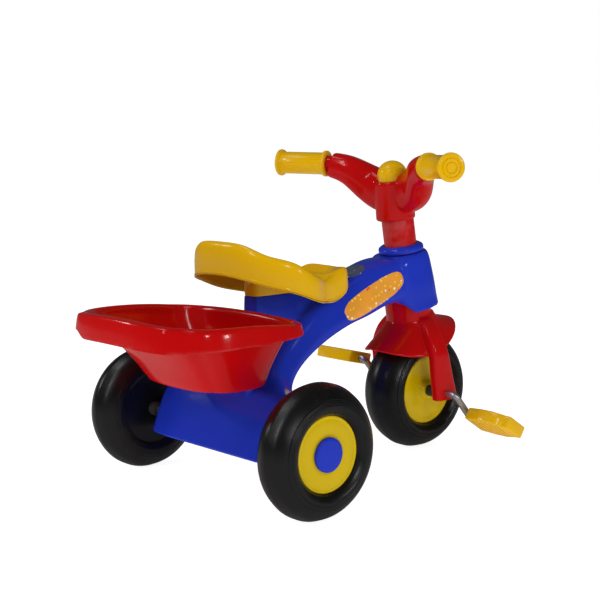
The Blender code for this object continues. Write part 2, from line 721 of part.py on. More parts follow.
def cup_rings(count):
    """Rings of the cup from its lower edge, which bulges to the rear, up to its round rim."""
    low, rim = along(CUP_LOW), along(CUP_RIM)
    rings = []
    for z, side, ahead, behind, tilt in ((low, 26.5, 25.2, 32, 3), (low + 2, 27.8, 25.8, 34, 3),
                                         (rim - 1.5, CUP_R, CUP_R, CUP_R, 0),
                                         (rim, CUP_R - 1.5, CUP_R - 1.5, CUP_R - 1.5, 0)):
        rings.append([(u * side, v * (behind if v > 0 else ahead), z + tilt * (1 + v) / 2)
                      for u, v in oval(count, 2)])
    return rings


def build_handlebar():
    low, rim = along(CUP_LOW), along(CUP_RIM)
    bar = add("handlebar", outward(skin(cup_rings(32))), steer_axis, RED)
    for side in (-1, 1):
        stations = level([(side * x, *rest) for x, *rest in ARM])
        join(bar, add(f"arm {side}", sweep(stations, 2.6), steer_level))
        start, end = (level([(side * p.x, p.y, p.z)])[0] for p in (GRIP_START, GRIP_END))
        start = Vector(start) - (Vector(end) - Vector(start)).normalized() * 12
        join(bar, rod(f"grip core {side}", start, Vector(end) * 0.95 + start * 0.05, 12, steer_level))
    floor = along(CUP_FLOOR)
    cut(bar, rod("horn well", (0, 0, floor), (0, 0, rim + 10), HORN_R + 1.2, steer_axis, steps=32))
    cut(bar, rod("stem socket", (0, 0, low - 5), (0, 0, floor - 4), STEM_R + GAP, steer_axis, steps=32))
    cut(bar, rod("screw hole", (0, 0, floor - 12), (0, 0, floor + 8), 2.3, steer_axis, steps=12))
    return bar


def build_grips():
    """Each grip is a sleeve with a flange at both ends and two ring grooves in its end face."""
    length = (GRIP_END - GRIP_START).length
    groove = [(0, length), (3.2, length), (3.8, length - 1), (5.2, length - 1), (5.8, length), (8.6, length),
              (9.2, length - 1), (10.6, length - 1), (11.2, length)]
    body = [(18, length), (20, length - 1.5), (20, length - 5), (18.5, length - 6.5), (GRIP_R, length - 8),
            (GRIP_R, 7), (18.5, 5.5), (19.5, 4.5), (19.5, 1), (18.5, 0.3), (12.3, 0.3), (12.3, length - 3.5),
            (0, length - 3.5)]
    for side, word in ((1, "left"), (-1, "right")):
        start = Vector(level([(side * GRIP_START.x, GRIP_START.y, GRIP_START.z)])[0])
        end = Vector(level([(side * GRIP_END.x, GRIP_END.y, GRIP_END.z)])[0])
        turn = (end - start).to_track_quat("Z", "Y").to_euler()
        lathe(f"grip_{word}", groove + body, steer_level, YELLOW, start, turn, 16, roughness=0.3)


def build_stem_and_horn():
    low, high = along(209) + GAP, along(CUP_FLOOR) - 4 - GAP
    tube = [(STEM_R - 3, low), (STEM_R, low), (STEM_R, high), (2.2, high), (2.2, high - 8), (STEM_R - 3, high - 8)]
    lathe("stem_tube", tube, steer_axis, RED)
    base = along(CUP_RIM) - 11
    top = along(HORN_TOP)
    profile = []
    for step in range(7):
        angle = math.pi / 2 * step / 6
        profile.append((HORN_R * math.sin(angle), top - 20.0 * (1 - math.cos(angle))))
    profile += [(HORN_R, base), (HORN_R - 2.4, base)]
    for step in range(4, -1, -1):
        angle = math.pi / 2 * step / 4
        profile.append(((HORN_R - 2.4) * math.sin(angle), top - 2.4 - 17.6 * (1 - math.cos(angle))))
    horn = empty("horn_axis", steer_axis)
    lathe("horn_button", profile, horn, YELLOW, steps=20)
    lathe("handlebar_screw", [(0, 2.4), (3, 2.4), (4, 1), (4, 0), (1.9, 0), (1.9, -20), (0, -20)], steer_axis, STEEL,
          (0, 0, along(CUP_FLOOR) + GAP), steps=12, roughness=0.35, metallic=1.0)


def build_axle():
    reach = HALF_TRACK + 20.0
    rod("rear_axle", (-reach, 0, REAR_R), (reach, 0, REAR_R), AXLE_R, axle_ground, STEEL, roughness=0.3, metallic=1.0)


frame = build_frame()
build_head_fittings()
build_seat()
build_basket()
build_screws()
build_axle()
build_rear_wheel(1, "left")
build_rear_wheel(-1, "right")
build_front_wheel()
build_crank()
build_pedal(1, "left")
build_pedal(-1, "right")
build_fork()
build_handlebar()
build_grips()
build_stem_and_horn()
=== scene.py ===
"""Children's tricycle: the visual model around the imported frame.

Every shape is worked out again here, finer than the solids in the frame and with its small detail, from
the same driving dimensions. Tables are in millimetres; their y is measured from the rear axle.
"""
import math

import bmesh
import bpy
import numpy as np
from mathutils import Matrix, Vector
from mathutils.bvhtree import BVHTree


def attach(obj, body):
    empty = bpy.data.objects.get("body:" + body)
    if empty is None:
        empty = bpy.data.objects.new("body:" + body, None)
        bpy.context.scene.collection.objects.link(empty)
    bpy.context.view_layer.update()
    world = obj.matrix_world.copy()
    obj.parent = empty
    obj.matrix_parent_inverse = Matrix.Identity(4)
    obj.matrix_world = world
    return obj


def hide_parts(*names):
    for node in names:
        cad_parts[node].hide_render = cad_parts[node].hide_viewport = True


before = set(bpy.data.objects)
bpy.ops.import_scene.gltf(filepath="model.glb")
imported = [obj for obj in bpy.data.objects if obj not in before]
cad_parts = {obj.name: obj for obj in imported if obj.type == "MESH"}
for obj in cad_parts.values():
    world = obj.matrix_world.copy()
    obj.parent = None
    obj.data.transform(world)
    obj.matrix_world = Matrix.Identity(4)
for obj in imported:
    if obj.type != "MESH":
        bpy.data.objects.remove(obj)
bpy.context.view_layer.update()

# --- driving dimensions ---------------------------------------------------------------------------
MM = 0.001
GAP = 0.3                          # clearance between touching pieces
REAR_AXLE_OFFSET = 137.2           # rear axle behind the origin
REAR_R = 87.5                      # rear wheel radius
FRONT_R = 89.0                     # front wheel radius
HALF_TRACK = 186.5                 # middle of a rear tyre from the centre plane
WHEELBASE = 365.3
TYRE_BORE = 49.0                   # radius of the recess that a rear hub cover sits in
FRONT_BORE = 51.0                  # the same in the front wheel
AXLE_R = 5.0                       # steel rods
RAKE = math.radians(9.0)           # the steering axis leans back by this much
STEER_Y, STEER_Z = -329.5, 350.0   # a point on the steering axis
WALL = 3.0                         # wall of the frame, fork, stem and tyres
STEM_R = 24.0
STEM_BORE = STEM_R + 0.5           # round hole that the stem turns in
SOCKET_Z = 209                     # height of the stem's foot in the fork
NECK_R = 34.0
CUP_R = 28.0
GRIP_R = 16.5
CRANK_THROW = 50.6                 # pedal spindle from the front axle
CRANK_ANGLE = math.radians(50.5)
CRANK_X = 79.5                     # plane of a crank arm
CRANK_BEND = 9.0                   # where each bend of the rod starts, from its corner
CRANK_FLOAT = -4.0                 # the bent axle has slid this far along its end play
PEDAL_X = 89.5                     # inner face of a pedal
SPINDLE = 58                       # how far the rod goes into a pedal
PEDAL_PITCH = {1: math.radians(14.0), -1: math.radians(34.0)}   # left, right
HUB_X = 24.5                       # face of a front hub cover

AXLE = Matrix.Translation((0, REAR_AXLE_OFFSET, 0))
STEER = AXLE @ Matrix.Translation((0, STEER_Y, STEER_Z)) @ Matrix.Rotation(-RAKE, 4, "X")
FRONT = AXLE @ Matrix.Translation((0, -WHEELBASE, FRONT_R))
TO_X = Matrix.Rotation(math.pi / 2, 4, "Y")
TO_MINUS_X = Matrix.Rotation(-math.pi / 2, 4, "Y")


def along(z):
    """Distance up the steering axis, from its reference point, at which it reaches height z."""
    return (z - STEER_Z) / math.cos(RAKE)


# --- mesh tools -----------------------------------------------------------------------------------
def spline(rows, steps, closed=False):
    """Rows of a Catmull-Rom curve through the given rows, with the given steps in each span."""
    rows = np.array(rows, float)
    count = len(rows)
    out = []
    for i in range(count if closed else count - 1):
        if closed:
            p = [rows[(i + k) % count] for k in (-1, 0, 1, 2)]
        else:
            p = [rows[max(i - 1, 0)], rows[i], rows[i + 1], rows[min(i + 2, count - 1)]]
        for t in np.arange(steps) / steps:
            out.append(0.5 * (2 * p[1] + (p[2] - p[0]) * t + (2 * p[0] - 5 * p[1] + 4 * p[2] - p[3]) * t ** 2
                              + (3 * p[1] - p[0] - 3 * p[2] + p[3]) * t ** 3))
    if not closed:
        out.append(rows[-1])
    return np.array(out)


def oval(count, power):
    """Unit superellipse, starting on +u and turning towards +v, with its points spread evenly."""
    angles = 2 * math.pi * np.arange(count * 16) / (count * 16)
    c, s = np.cos(angles), np.sin(angles)
    fine = np.stack([np.sign(c) * np.abs(c) ** (2 / power), np.sign(s) * np.abs(s) ** (2 / power)], 1)
    gaps = np.linalg.norm(np.roll(fine, -1, axis=0) - fine, axis=1)
    walked = np.concatenate([[0], np.cumsum(gaps)])
    where = np.linspace(0, walked[-1], count, endpoint=False)
    closed = np.vstack([fine, fine[:1]])
    return np.stack([np.interp(where, walked, closed[:, k]) for k in (0, 1)], 1)


def skin(rings, caps=(True, True), pole=None):
    """Join rings of points into a bmesh; pole closes the last ring to one point."""
    bm = bmesh.new()
    rows = [[bm.verts.new(p) for p in ring] for ring in rings]
    for low, high in zip(rows, rows[1:]):
        for i in range(len(low)):
            j = (i + 1) % len(low)
            bm.faces.new((low[i], low[j], high[j], high[i]))
    if caps[0]:
        bm.faces.new(rows[0][::-1])
    if pole is not None:
        tip = bm.verts.new(pole)
        last = rows[-1]
        for i in range(len(last)):
            bm.faces.new((last[i], last[(i + 1) % len(last)], tip))
    elif caps[1]:
        bm.faces.new(rows[-1])
    return bm


def outward(bm):
    """Turn every face of a closed bmesh outwards."""
    bmesh.ops.recalc_face_normals(bm, faces=bm.faces)
    return bm


def solid(name, bm, place):
    """An object from a bmesh in millimetres that is put in place by a matrix in millimetres."""
    bm.transform(Matrix.Scale(MM, 4) @ place)
    mesh = bpy.data.meshes.new(name)
    bm.to_mesh(mesh)
    bm.free()
    obj = bpy.data.objects.new(name, mesh)
    bpy.context.scene.collection.objects.link(obj)
    return obj


def turned(name, profile, place, steps=96):
    """Turn a profile of (radius, height) points about Z; one whose ends are on the axis is a solid."""
    on_axis = profile[0][0] == 0 and profile[-1][0] == 0
    bm = bmesh.new()
    columns = []
    for k in range(steps):
        angle = 2 * math.pi * k / steps
        columns.append([(r * math.cos(angle), r * math.sin(angle), h) for r, h in profile])
    poles = {}
    rows = []
    for i, (r, h) in enumerate(profile):
        if r < 1e-6:
            poles[i] = bm.verts.new((0, 0, h))
            rows.append([poles[i]] * steps)
        else:
            rows.append([bm.verts.new(columns[k][i]) for k in range(steps)])
    pairs = list(zip(rows, rows[1:])) if on_axis else list(zip(rows, rows[1:] + rows[:1]))
    for a, b in pairs:
        for k in range(steps):
            n = (k + 1) % steps
            corners = []
            for vert in (a[k], a[n], b[n], b[k]):
                if vert not in corners:
                    corners.append(vert)
            if len(corners) > 2:
                bm.faces.new(corners)
    return solid(name, outward(bm), place)


def bar(name, start, end, radius, place, steps=48):
    """A straight round bar between two points."""
    start, end = Vector(start), Vector(end)
    turn = (end - start).to_track_quat("Z", "Y").to_matrix().to_4x4()
    length = (end - start).length
    profile = [(0, length), (radius, length), (radius, 0), (0, 0)]
    return turned(name, profile, place @ Matrix.Translation(start) @ turn, steps)


def settle(obj, *made_from):
    """Apply an object's modifiers and remove the objects that they used."""
    deps = bpy.context.evaluated_depsgraph_get()
    mesh = bpy.data.meshes.new_from_object(obj.evaluated_get(deps))
    obj.modifiers.clear()
    old = obj.data
    obj.data = mesh
    bpy.data.meshes.remove(old)
    for other in made_from:
        bpy.data.objects.remove(other, do_unlink=True)
    return obj


def combine(obj, others, operation):
    """Boolean an object with others, which are used up."""
    for other in others:
        mod = obj.modifiers.new(operation, "BOOLEAN")
        mod.operation = operation
        mod.object = other
        mod.solver = "EXACT"
    return settle(obj, *others)


def cut(obj, *others):
    return combine(obj, others, "DIFFERENCE")


def join(obj, *others):
    return combine(obj, others, "UNION")


def melt(obj, others, voxel, rounds):
    """Merge closed solids into one skin and soften where they meet."""
    bm = bmesh.new()
    for item in (obj, *others):
        bm.from_mesh(item.data)
    bm.to_mesh(obj.data)
    bm.free()
    mod = obj.modifiers.new("skin", "REMESH")
    mod.mode = "VOXEL"
    mod.voxel_size = voxel * MM
    mod.adaptivity = 0.0
    relax = obj.modifiers.new("soften", "SMOOTH")
    relax.factor = 0.5
    relax.iterations = rounds
    return settle(obj, *others)


def shell(obj, thickness):
    """Give an open surface a wall, inwards from its faces."""
    mod = obj.modifiers.new("wall", "SOLIDIFY")
    mod.thickness = thickness * MM
    mod.offset = -1.0
    mod.use_even_offset = True
    return settle(obj)


def round_edges(obj, width, segments, angle):
    """Bevel the edges that turn by more than an angle in degrees."""
    mod = obj.modifiers.new("edges", "BEVEL")
    mod.width = width * MM
    mod.segments = segments
    mod.limit_method = "ANGLE"
    mod.angle_limit = math.radians(angle)
    return settle(obj)


def prism(outline, low, high):
    """An outline of (x, y) points raised from z = low to z = high."""
    bm = bmesh.new()
    face = bm.faces.new([bm.verts.new((x, y, low)) for x, y in outline])
    raised = bmesh.ops.extrude_face_region(bm, geom=[face])
    verts = [item for item in raised["geom"] if isinstance(item, bmesh.types.BMVert)]
    bmesh.ops.translate(bm, vec=(0, 0, high - low), verts=verts)
    return outward(bm)


def block(low, high):
    """A box between two opposite corners."""
    (x0, y0, z0), (x1, y1, z1) = low, high
    return prism([(x0, y0), (x1, y0), (x1, y1), (x0, y1)], z0, z1)


# --- materials ------------------------------------------------------------------------------------
class Nodes:
    """A short way to write a node tree."""

    def __init__(self, name):
        self.material = bpy.data.materials.new(name)
        self.material.use_nodes = True
        self.tree = self.material.node_tree
        self.shader = self.tree.nodes["Principled BSDF"]

    def add(self, kind):
        return self.tree.nodes.new(kind)

    def link(self, start, end):
        self.tree.links.new(start, end)

    def noise(self, scale, detail=3.0, roughness=0.55, stretch=(1, 1, 1)):
        coords = self.add("ShaderNodeTexCoord")
        mapping = self.add("ShaderNodeMapping")
        mapping.inputs["Scale"].default_value = stretch
        self.link(coords.outputs["Object"], mapping.inputs["Vector"])
        node = self.add("ShaderNodeTexNoise")
        node.inputs["Scale"].default_value = scale
        node.inputs["Detail"].default_value = detail
        node.inputs["Roughness"].default_value = roughness
        self.link(mapping.outputs["Vector"], node.inputs["Vector"])
        return node.outputs["Fac"]

    def span(self, value, low, high, to_low, to_high):
        node = self.add("ShaderNodeMapRange")
        for key, number in zip(("From Min", "From Max", "To Min", "To Max"), (low, high, to_low, to_high)):
            node.inputs[key].default_value = number
        self.link(value, node.inputs["Value"])
        return node.outputs["Result"]

    def math(self, operation, a, b):
        node = self.add("ShaderNodeMath")
        node.operation = operation
        for socket, value in zip(node.inputs, (a, b)):
            if isinstance(value, (int, float)):
                socket.default_value = value
            else:
                self.link(value, socket)
        return node.outputs[0]

    def mix(self, factor, a, b):
        node = self.add("ShaderNodeMix")
        node.data_type = "RGBA"
        self.link(factor, node.inputs[0])
        for socket, value in ((node.inputs[6], a), (node.inputs[7], b)):
            if isinstance(value, tuple):
                socket.default_value = (*value, 1.0)
            else:
                self.link(value, socket)
        return node.outputs[2]

    def bump(self, height, strength, distance, under=None):
        node = self.add("ShaderNodeBump")
        node.inputs["Strength"].default_value = strength
        node.inputs["Distance"].default_value = distance
        self.link(height, node.inputs["Height"])
        if under is not None:
            self.link(under, node.inputs["Normal"])
        return node.outputs["Normal"]


def plastic(name, colour, roughness, coat=0.0, worn=0.5):
    """Moulded plastic: faint swirls in the colour, orange peel, scuffs, and paler rubbed edges."""
    n = Nodes(name)
    dark = tuple(c * 0.95 for c in colour)
    pale = tuple(min(c * 1.04 + 0.001, 1) for c in colour)
    swirl = n.span(n.noise(7.0, 4.0), 0.3, 0.7, 0.0, 1.0)
    tint = n.mix(swirl, dark, pale)
    geometry = n.add("ShaderNodeNewGeometry")
    edge = n.span(geometry.outputs["Pointiness"], 0.53, 0.62, 0.0, 1.0)
    patches = n.span(n.noise(38.0, 5.0), 0.42, 0.62, 0.0, 1.0)
    rubbed = n.math("MULTIPLY", n.math("MULTIPLY", edge, patches), worn * 0.5)
    bleached = tuple(min(c * 0.8 + 0.16, 1) for c in colour)
    tint = n.mix(rubbed, tint, bleached)
    n.link(tint, n.shader.inputs["Base Color"])
    scuffs = n.span(n.noise(24.0, 6.0, 0.62, (1, 5, 2)), 0.56, 0.72, 0.0, 0.09)
    haze = n.span(n.noise(11.0, 3.0), 0.3, 0.7, -0.025, 0.03)
    rough = n.math("ADD", n.math("ADD", scuffs, haze), roughness)
    rough = n.math("ADD", rough, n.math("MULTIPLY", rubbed, 0.25))
    n.link(rough, n.shader.inputs["Roughness"])
    slow = n.bump(n.noise(22.0, 2.0), 0.16, 0.0006)
    fine = n.bump(n.noise(420.0, 2.0), 0.025, 0.0003, slow)
    n.link(fine, n.shader.inputs["Normal"])
    n.shader.inputs["IOR"].default_value = 1.49
    n.shader.inputs["Specular IOR Level"].default_value = 0.22
    n.shader.inputs["Coat Weight"].default_value = coat
    n.shader.inputs["Coat Roughness"].default_value = 0.06
    return n.material


def tyre_plastic(name, colour):
    """Satin black tyre: a slightly chalky crown, mould sparkle and fine pitting."""
    n = Nodes(name)
    swirl = n.span(n.noise(14.0, 5.0), 0.3, 0.7, 0.0, 1.0)
    tint = n.mix(swirl, tuple(c * 0.8 for c in colour), tuple(c * 1.3 + 0.001 for c in colour))
    dust = n.span(n.noise(60.0, 8.0, 0.7), 0.55, 0.75, 0.0, 0.12)
    tint = n.mix(dust, tint, (0.04, 0.038, 0.036))
    n.link(tint, n.shader.inputs["Base Color"])
    rough = n.math("ADD", n.span(n.noise(20.0, 5.0), 0.3, 0.7, -0.04, 0.06), 0.30)
    n.link(n.math("ADD", rough, dust), n.shader.inputs["Roughness"])
    fine = n.bump(n.noise(900.0, 3.0, 0.7), 0.35, 0.0003)
    n.link(n.bump(n.noise(30.0, 2.0), 0.10, 0.0006, fine), n.shader.inputs["Normal"])
    n.shader.inputs["IOR"].default_value = 1.5
    n.shader.inputs["Specular IOR Level"].default_value = 0.4
    return n.material


def plated_steel(name, colour, roughness):
    """Bright zinc-plated steel: drawn lines along it, a mottled bloom and a few dull spots."""
    n = Nodes(name)
    bloom = n.span(n.noise(55.0, 6.0, 0.65), 0.35, 0.7, 0.0, 1.0)
    tint = n.mix(bloom, colour, tuple(c * 0.72 for c in colour))
    spots = n.span(n.noise(160.0, 4.0), 0.66, 0.74, 0.0, 0.7)
    n.link(n.mix(spots, tint, (0.22, 0.19, 0.16)), n.shader.inputs["Base Color"])
    lines = n.noise(90.0, 3.0, 0.5, (0.15, 6, 6))
    n.link(n.math("ADD", n.span(lines, 0.3, 0.7, -0.05, 0.12), roughness), n.shader.inputs["Roughness"])
    n.link(n.bump(lines, 0.12, 0.0002), n.shader.inputs["Normal"])
    n.shader.inputs["Metallic"].default_value = 1.0
    return n.material


def sticker(name, ground, marks, scale):
    """Printed vinyl: a plain ground with round dots in a few colours."""
    n = Nodes(name)
    coords = n.add("ShaderNodeTexCoord")
    cells = n.add("ShaderNodeTexVoronoi")
    cells.inputs["Scale"].default_value = scale
    cells.inputs["Randomness"].default_value = 0.75
    n.link(coords.outputs["Object"], cells.inputs["Vector"])
    hue = n.add("ShaderNodeValToRGB")
    hue.color_ramp.interpolation = "CONSTANT"
    stops = hue.color_ramp.elements
    stops[0].color = (*marks[0], 1)
    stops[1].position = 1 / len(marks)
    stops[1].color = (*marks[1], 1)
    for number, mark in enumerate(marks[2:], 2):
        stop = stops.new(number / len(marks))
        stop.color = (*mark, 1)
    split = n.add("ShaderNodeSeparateColor")
    n.link(cells.outputs["Color"], split.inputs["Color"])
    n.link(split.outputs["Red"], hue.inputs["Fac"])
    dot = n.span(cells.outputs["Distance"], 0.26, 0.29, 1.0, 0.0)
    mottled = n.mix(n.span(n.noise(26.0, 3.0), 0.3, 0.7, 0.0, 1.0), ground, tuple(c * 0.86 for c in ground))
    n.link(n.mix(dot, mottled, hue.outputs["Color"]), n.shader.inputs["Base Color"])
    n.link(n.span(n.noise(45.0, 5.0), 0.3, 0.7, 0.26, 0.40), n.shader.inputs["Roughness"])
    n.link(n.bump(n.noise(260.0, 2.0), 0.08, 0.0002), n.shader.inputs["Normal"])
    return n.material


# Colours are linear RGB
RED = (0.49, 0.0015, 0.002)
BLUE = (0.012, 0.034, 0.47)
YELLOW = (0.76, 0.43, 0.0003)
LEMON = (0.64, 0.44, 0.0004)
BLACK = (0.0022, 0.0022, 0.0022)
STEEL = (0.62, 0.63, 0.65)
NYLON = (0.03, 0.03, 0.032)

LOOKS = {
    "red_plastic": plastic("red_plastic", RED, 0.13, coat=0.05),
    "blue_plastic": plastic("blue_plastic", BLUE, 0.14, coat=0.05),
    "yellow_plastic": plastic("yellow_plastic", YELLOW, 0.17, coat=0.05),
    "disc_plastic": plastic("disc_plastic", LEMON, 0.17, coat=0.05),
    "black_plastic": tyre_plastic("black_plastic", BLACK),
    "dark_nylon": plastic("dark_nylon", NYLON, 0.45, worn=0.2),
    "steel": plated_steel("steel", STEEL, 0.36),
}


def dress(obj, body, slot, *nodes, angle=38, look=None):
    """Finish a piece: its material, its shading, the body it rides on and the nodes it stands for."""
    obj.data.materials.clear()
    obj.data.materials.append(LOOKS[look or slot])
    obj.data.shade_smooth()
    obj.data.set_sharp_from_angle(angle=math.radians(angle))
    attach(obj, body)
    if nodes:
        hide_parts(*nodes)
    return obj


# --- frame ----------------------------------------------------------------------------------------
ARCH = [
    # under y, z      outer y, z   half widths
    (-346, 226, -346, 289, 38, 33),
    (-289, 226, -289, 293, 39, 32),
    (-242, 213, -240, 282.5, 39.5, 28),
    (-203, 203.5, -192, 263.5, 40, 27),
    (-164, 188.5, -146, 246, 40, 30),
    (-129.5, 170, -104, 216, 40, 31),
    (-105.5, 151.5, -74, 188, 41, 34),
    (-91, 133, -50, 164, 44, 46),
    (-85, 118, -31, 151, 56, 80),
    (-80, 104, -10, 145.5, 86, 118),
    (-76, 92, 0, 128, 118, 148),
    (-70, 80, 11, 105, 140, 152),
    (-62, 61, 28, 61, 152, 152),
]
UPRIGHT = [
    # y, half width at the foot and at the top
    (-47, 17, 12.5),
    (-50, 18, 13.5),
    (-90, 20, 14.5),
    (-130, 21, 15.5),
    (-188, 23, 17),
    (-192, 21, 15),
]
UPRIGHT_BACK, UPRIGHT_FRONT = -47, -190
UPRIGHT_FOOT = ((UPRIGHT_FRONT, -110, UPRIGHT_BACK), (240, 195, 152))   # y, and the foot's height there
UPRIGHT_TOP = 260.8
RIBS_Y = (-122, -136.5)
RIB = ((186, 14, 20.2), (248, 11, 17.2), (250, 10, 15))                 # height, and from x to x
HEAD = [
    # height on the steering axis, reach ahead and behind, half width
    (214.5, 43, 45, 42.5),
    (218.5, 43, 45, 42),
    (230, 41.8, 45, 41.2),
    (252, 40.5, 45, 40.5),
    (276, 38.5, 45, 38.5),
    (289, 37, 43, 37),
    (296, 35.5, 39, 34.5),
    (299, 33, 34, 31),
]
# Side view (y, z) of what is cut out below the back of the head
NOTCH = [(-331, 200), (-329, 210), (-325, 215), (-309, 226), (-305, 227.5), (-270, 227.5), (-270, 200)]
TUBE_R = STEM_R + 4.5              # outside of the tube in the head that the stem turns in
TUBE_END, TUBE_TOP = 243, 301      # heights of its lower and upper end
DECK_POST = (45, -11, 148.6)       # x, y and top of the two posts that hold the basket
SEAT_SCREWS = (-72, -116)          # their y
SCREW_HOLE_R = 2.5
COLLAR_LOW, COLLAR_TOP, COLLAR_R = 300.5, 311, 33.5


def arch_rings(inset, steps, count, tail=0.0):
    """Rings along the arch and down the axle housing; a tail carries them on past its open foot."""
    rings = []
    for i, (uy, uz, oy, oz, under, outer) in enumerate(spline(ARCH, steps)):
        power = 4.0 + 2.0 * min(max((i / steps - 6) / 4, 0), 1)
        low, high = Vector((0, uy, uz)), Vector((0, oy, oz))
        half = (high - low).length / 2
        up = (high - low).normalized()
        middle = (low + high) / 2
        ring = []
        for u, v in oval(count, power):
            width = under + (outer - under) * (v + 1) / 2 - inset
            ring.append(middle + Vector((u * width, 0, 0)) + up * (v * (half - inset)))
        rings.append(ring)
    if tail:
        rings.append([p + Vector((0, 0, -tail)) for p in rings[-1]])
    return rings


def upright_rings(inset):
    """Two rings of the post under the seat; its foot follows the slope of the arch."""
    foot_ring, top_ring = [], []
    for side, rows in ((1, UPRIGHT), (-1, UPRIGHT[::-1])):
        for y, foot, top in rows:
            y = min(max(y, UPRIGHT_FRONT + inset), UPRIGHT_BACK - inset)
            foot_ring.append((side * (foot - inset), y, float(np.interp(y, *UPRIGHT_FOOT))))
            top_ring.append((side * (top - inset), y, UPRIGHT_TOP - inset))
    return [foot_ring, top_ring]


def head_rings(inset, tail, top, steps=4, count=56):
    """Rings up the steering axis, rounder ahead than behind, in the steering axis's own frame."""
    rings = []
    for z, ahead, behind, half in spline([row for row in HEAD if row[0] <= top], steps):
        ring = []
        for (u, v), (p, q) in zip(oval(count, 2.6), oval(count, 4.0)):
            if v < 0:
                ring.append((u * (half - inset), v * (ahead - inset), along(z)))
            else:
                ring.append((p * (half - inset), q * (behind - inset), along(z)))
        rings.append(ring)
    if tail:
        rings.insert(0, [(x, y, z - tail) for x, y, z in rings[0]])
    return rings


def build_frame():
    head = solid("head", outward(skin(head_rings(0, 0, 300))), STEER)
    across = Matrix(((0, 0, 1, 0), (1, 0, 0, 0), (0, 1, 0, 0), (0, 0, 0, 1)))
    cut(head, solid("notch", prism(NOTCH, -60, 60), AXLE @ across))
    body = solid("main_frame_skin", outward(skin(arch_rings(0, 8, 72))), AXLE)
    upright = solid("upright", outward(skin(upright_rings(0))), AXLE)
    ribs = []
    for y in RIBS_Y:
        for side in (-1, 1):
            rings = [[(side * a, y - 3.5, z), (side * b, y - 3.0, z),
                      (side * b, y + 3.0, z), (side * a, y + 3.5, z)] for z, a, b in RIB]
            ribs.append(solid("rib", outward(skin(rings)), AXLE))
    melt(body, [head, upright, *ribs], voxel=1.9, rounds=4)
    cavity = solid("cavity", outward(skin(arch_rings(WALL, 4, 40, tail=20))), AXLE)
    room = solid("room", outward(skin(head_rings(WALL, 20, 290, 2, 40))), STEER)
    inside = solid("inside", outward(skin(upright_rings(WALL))), AXLE)
    join(cavity, room, inside)
    cut(cavity, bar("tube", (0, 0, along(TUBE_END)), (0, 0, along(TUBE_TOP)), TUBE_R, STEER))
    tools = [cavity,
             bar("bore", (0, 0, along(TUBE_END) - 5), (0, 0, along(320)), STEM_BORE, STEER, 64),
             bar("axle hole", (-200, 0, REAR_R), (200, 0, REAR_R), AXLE_R + GAP, AXLE, 24)]
    for y in SEAT_SCREWS:
        tools.append(bar("seat hole", (0, y, 245), (0, y, 266), SCREW_HOLE_R, AXLE, 16))
    cut(body, *tools)
    x, y, top = DECK_POST
    for side in (-1, 1):
        profile = [(0, top), (8, top), (8, top - 26), (0, top - 26)]
        join(body, turned("post", profile, AXLE @ Matrix.Translation((side * x, y, 0)), 32))
        hole = [(0, top + 5), (SCREW_HOLE_R, top + 5), (SCREW_HOLE_R, top - 8), (5, top - 8),
                (5, top - 40), (0, top - 40)]
        cut(body, turned("hole", hole, AXLE @ Matrix.Translation((side * x, y, 0)), 24))
    return dress(body, "frame", "blue_plastic", "main_frame")


def build_collar():
    low, high = along(COLLAR_LOW), along(COLLAR_TOP)
    inner, outer = STEM_BORE, COLLAR_R
    foot = [(inner, low), (outer - 1.2, low), (outer - 0.3, low + 0.5), (outer, low + 1.6)]
    shoulder = [(outer, high - 6), (outer - 0.4, high - 4.4), (outer - 1.6, high - 3.0),
                (outer - 4, high - 1.4), (outer - 6, high - 0.7)]
    lip = [(inner + 2.4, high - 0.2), (inner + 0.8, high - 0.4), (inner, high - 1.4)]
    obj = turned("head_collar_skin", foot + shoulder + lip, STEER)
    dress(obj, "frame", "blue_plastic", "head_collar")


# --- seat -----------------------------------------------------------------------------------------
SEAT = [
    # x, y, height of the lower edge and of the rim; the left half, from back to front
    (0, 6, 296.5, 338.5),
    (45, 3, 293.5, 336.2),
    (78.5, -13.5, 285, 323.5),
    (102, -44, 275, 313),
    (104.5, -76, 263, 296),
    (87, -106, 256, 287),
    (59, -134, 251, 279),
    (46, -164, 249, 281),
    (38.5, -192, 259, 290.5),
    (19, -209, 275, 289),
    (0, -214, 280, 287.5),
]
SEAT_MIDDLE = (0, -88, 283)
SEAT_FOOT = 261.2
SEAT_WALL = 2.6                    # thickness of the shell
SEAT_RINGS = [
    # size, share of the way up from the lower edge to the rim, and a drop below that
    (1.0, 0.0, 0),
    (1.0, 0.05, 0),
    (0.994, 0.09, 0),
    (0.994, 0.5, 0),
    (0.983, 0.84, 0),
    (0.955, 0.975, 0),
    (0.92, 1.0, 0),
    (0.86, 1.0, 2),
    (0.74, 1.0, 7),
]
SEAT_DISH = (0.62, 0.48, 0.34, 0.2, 0.08)       # sizes of the rings between there and the middle


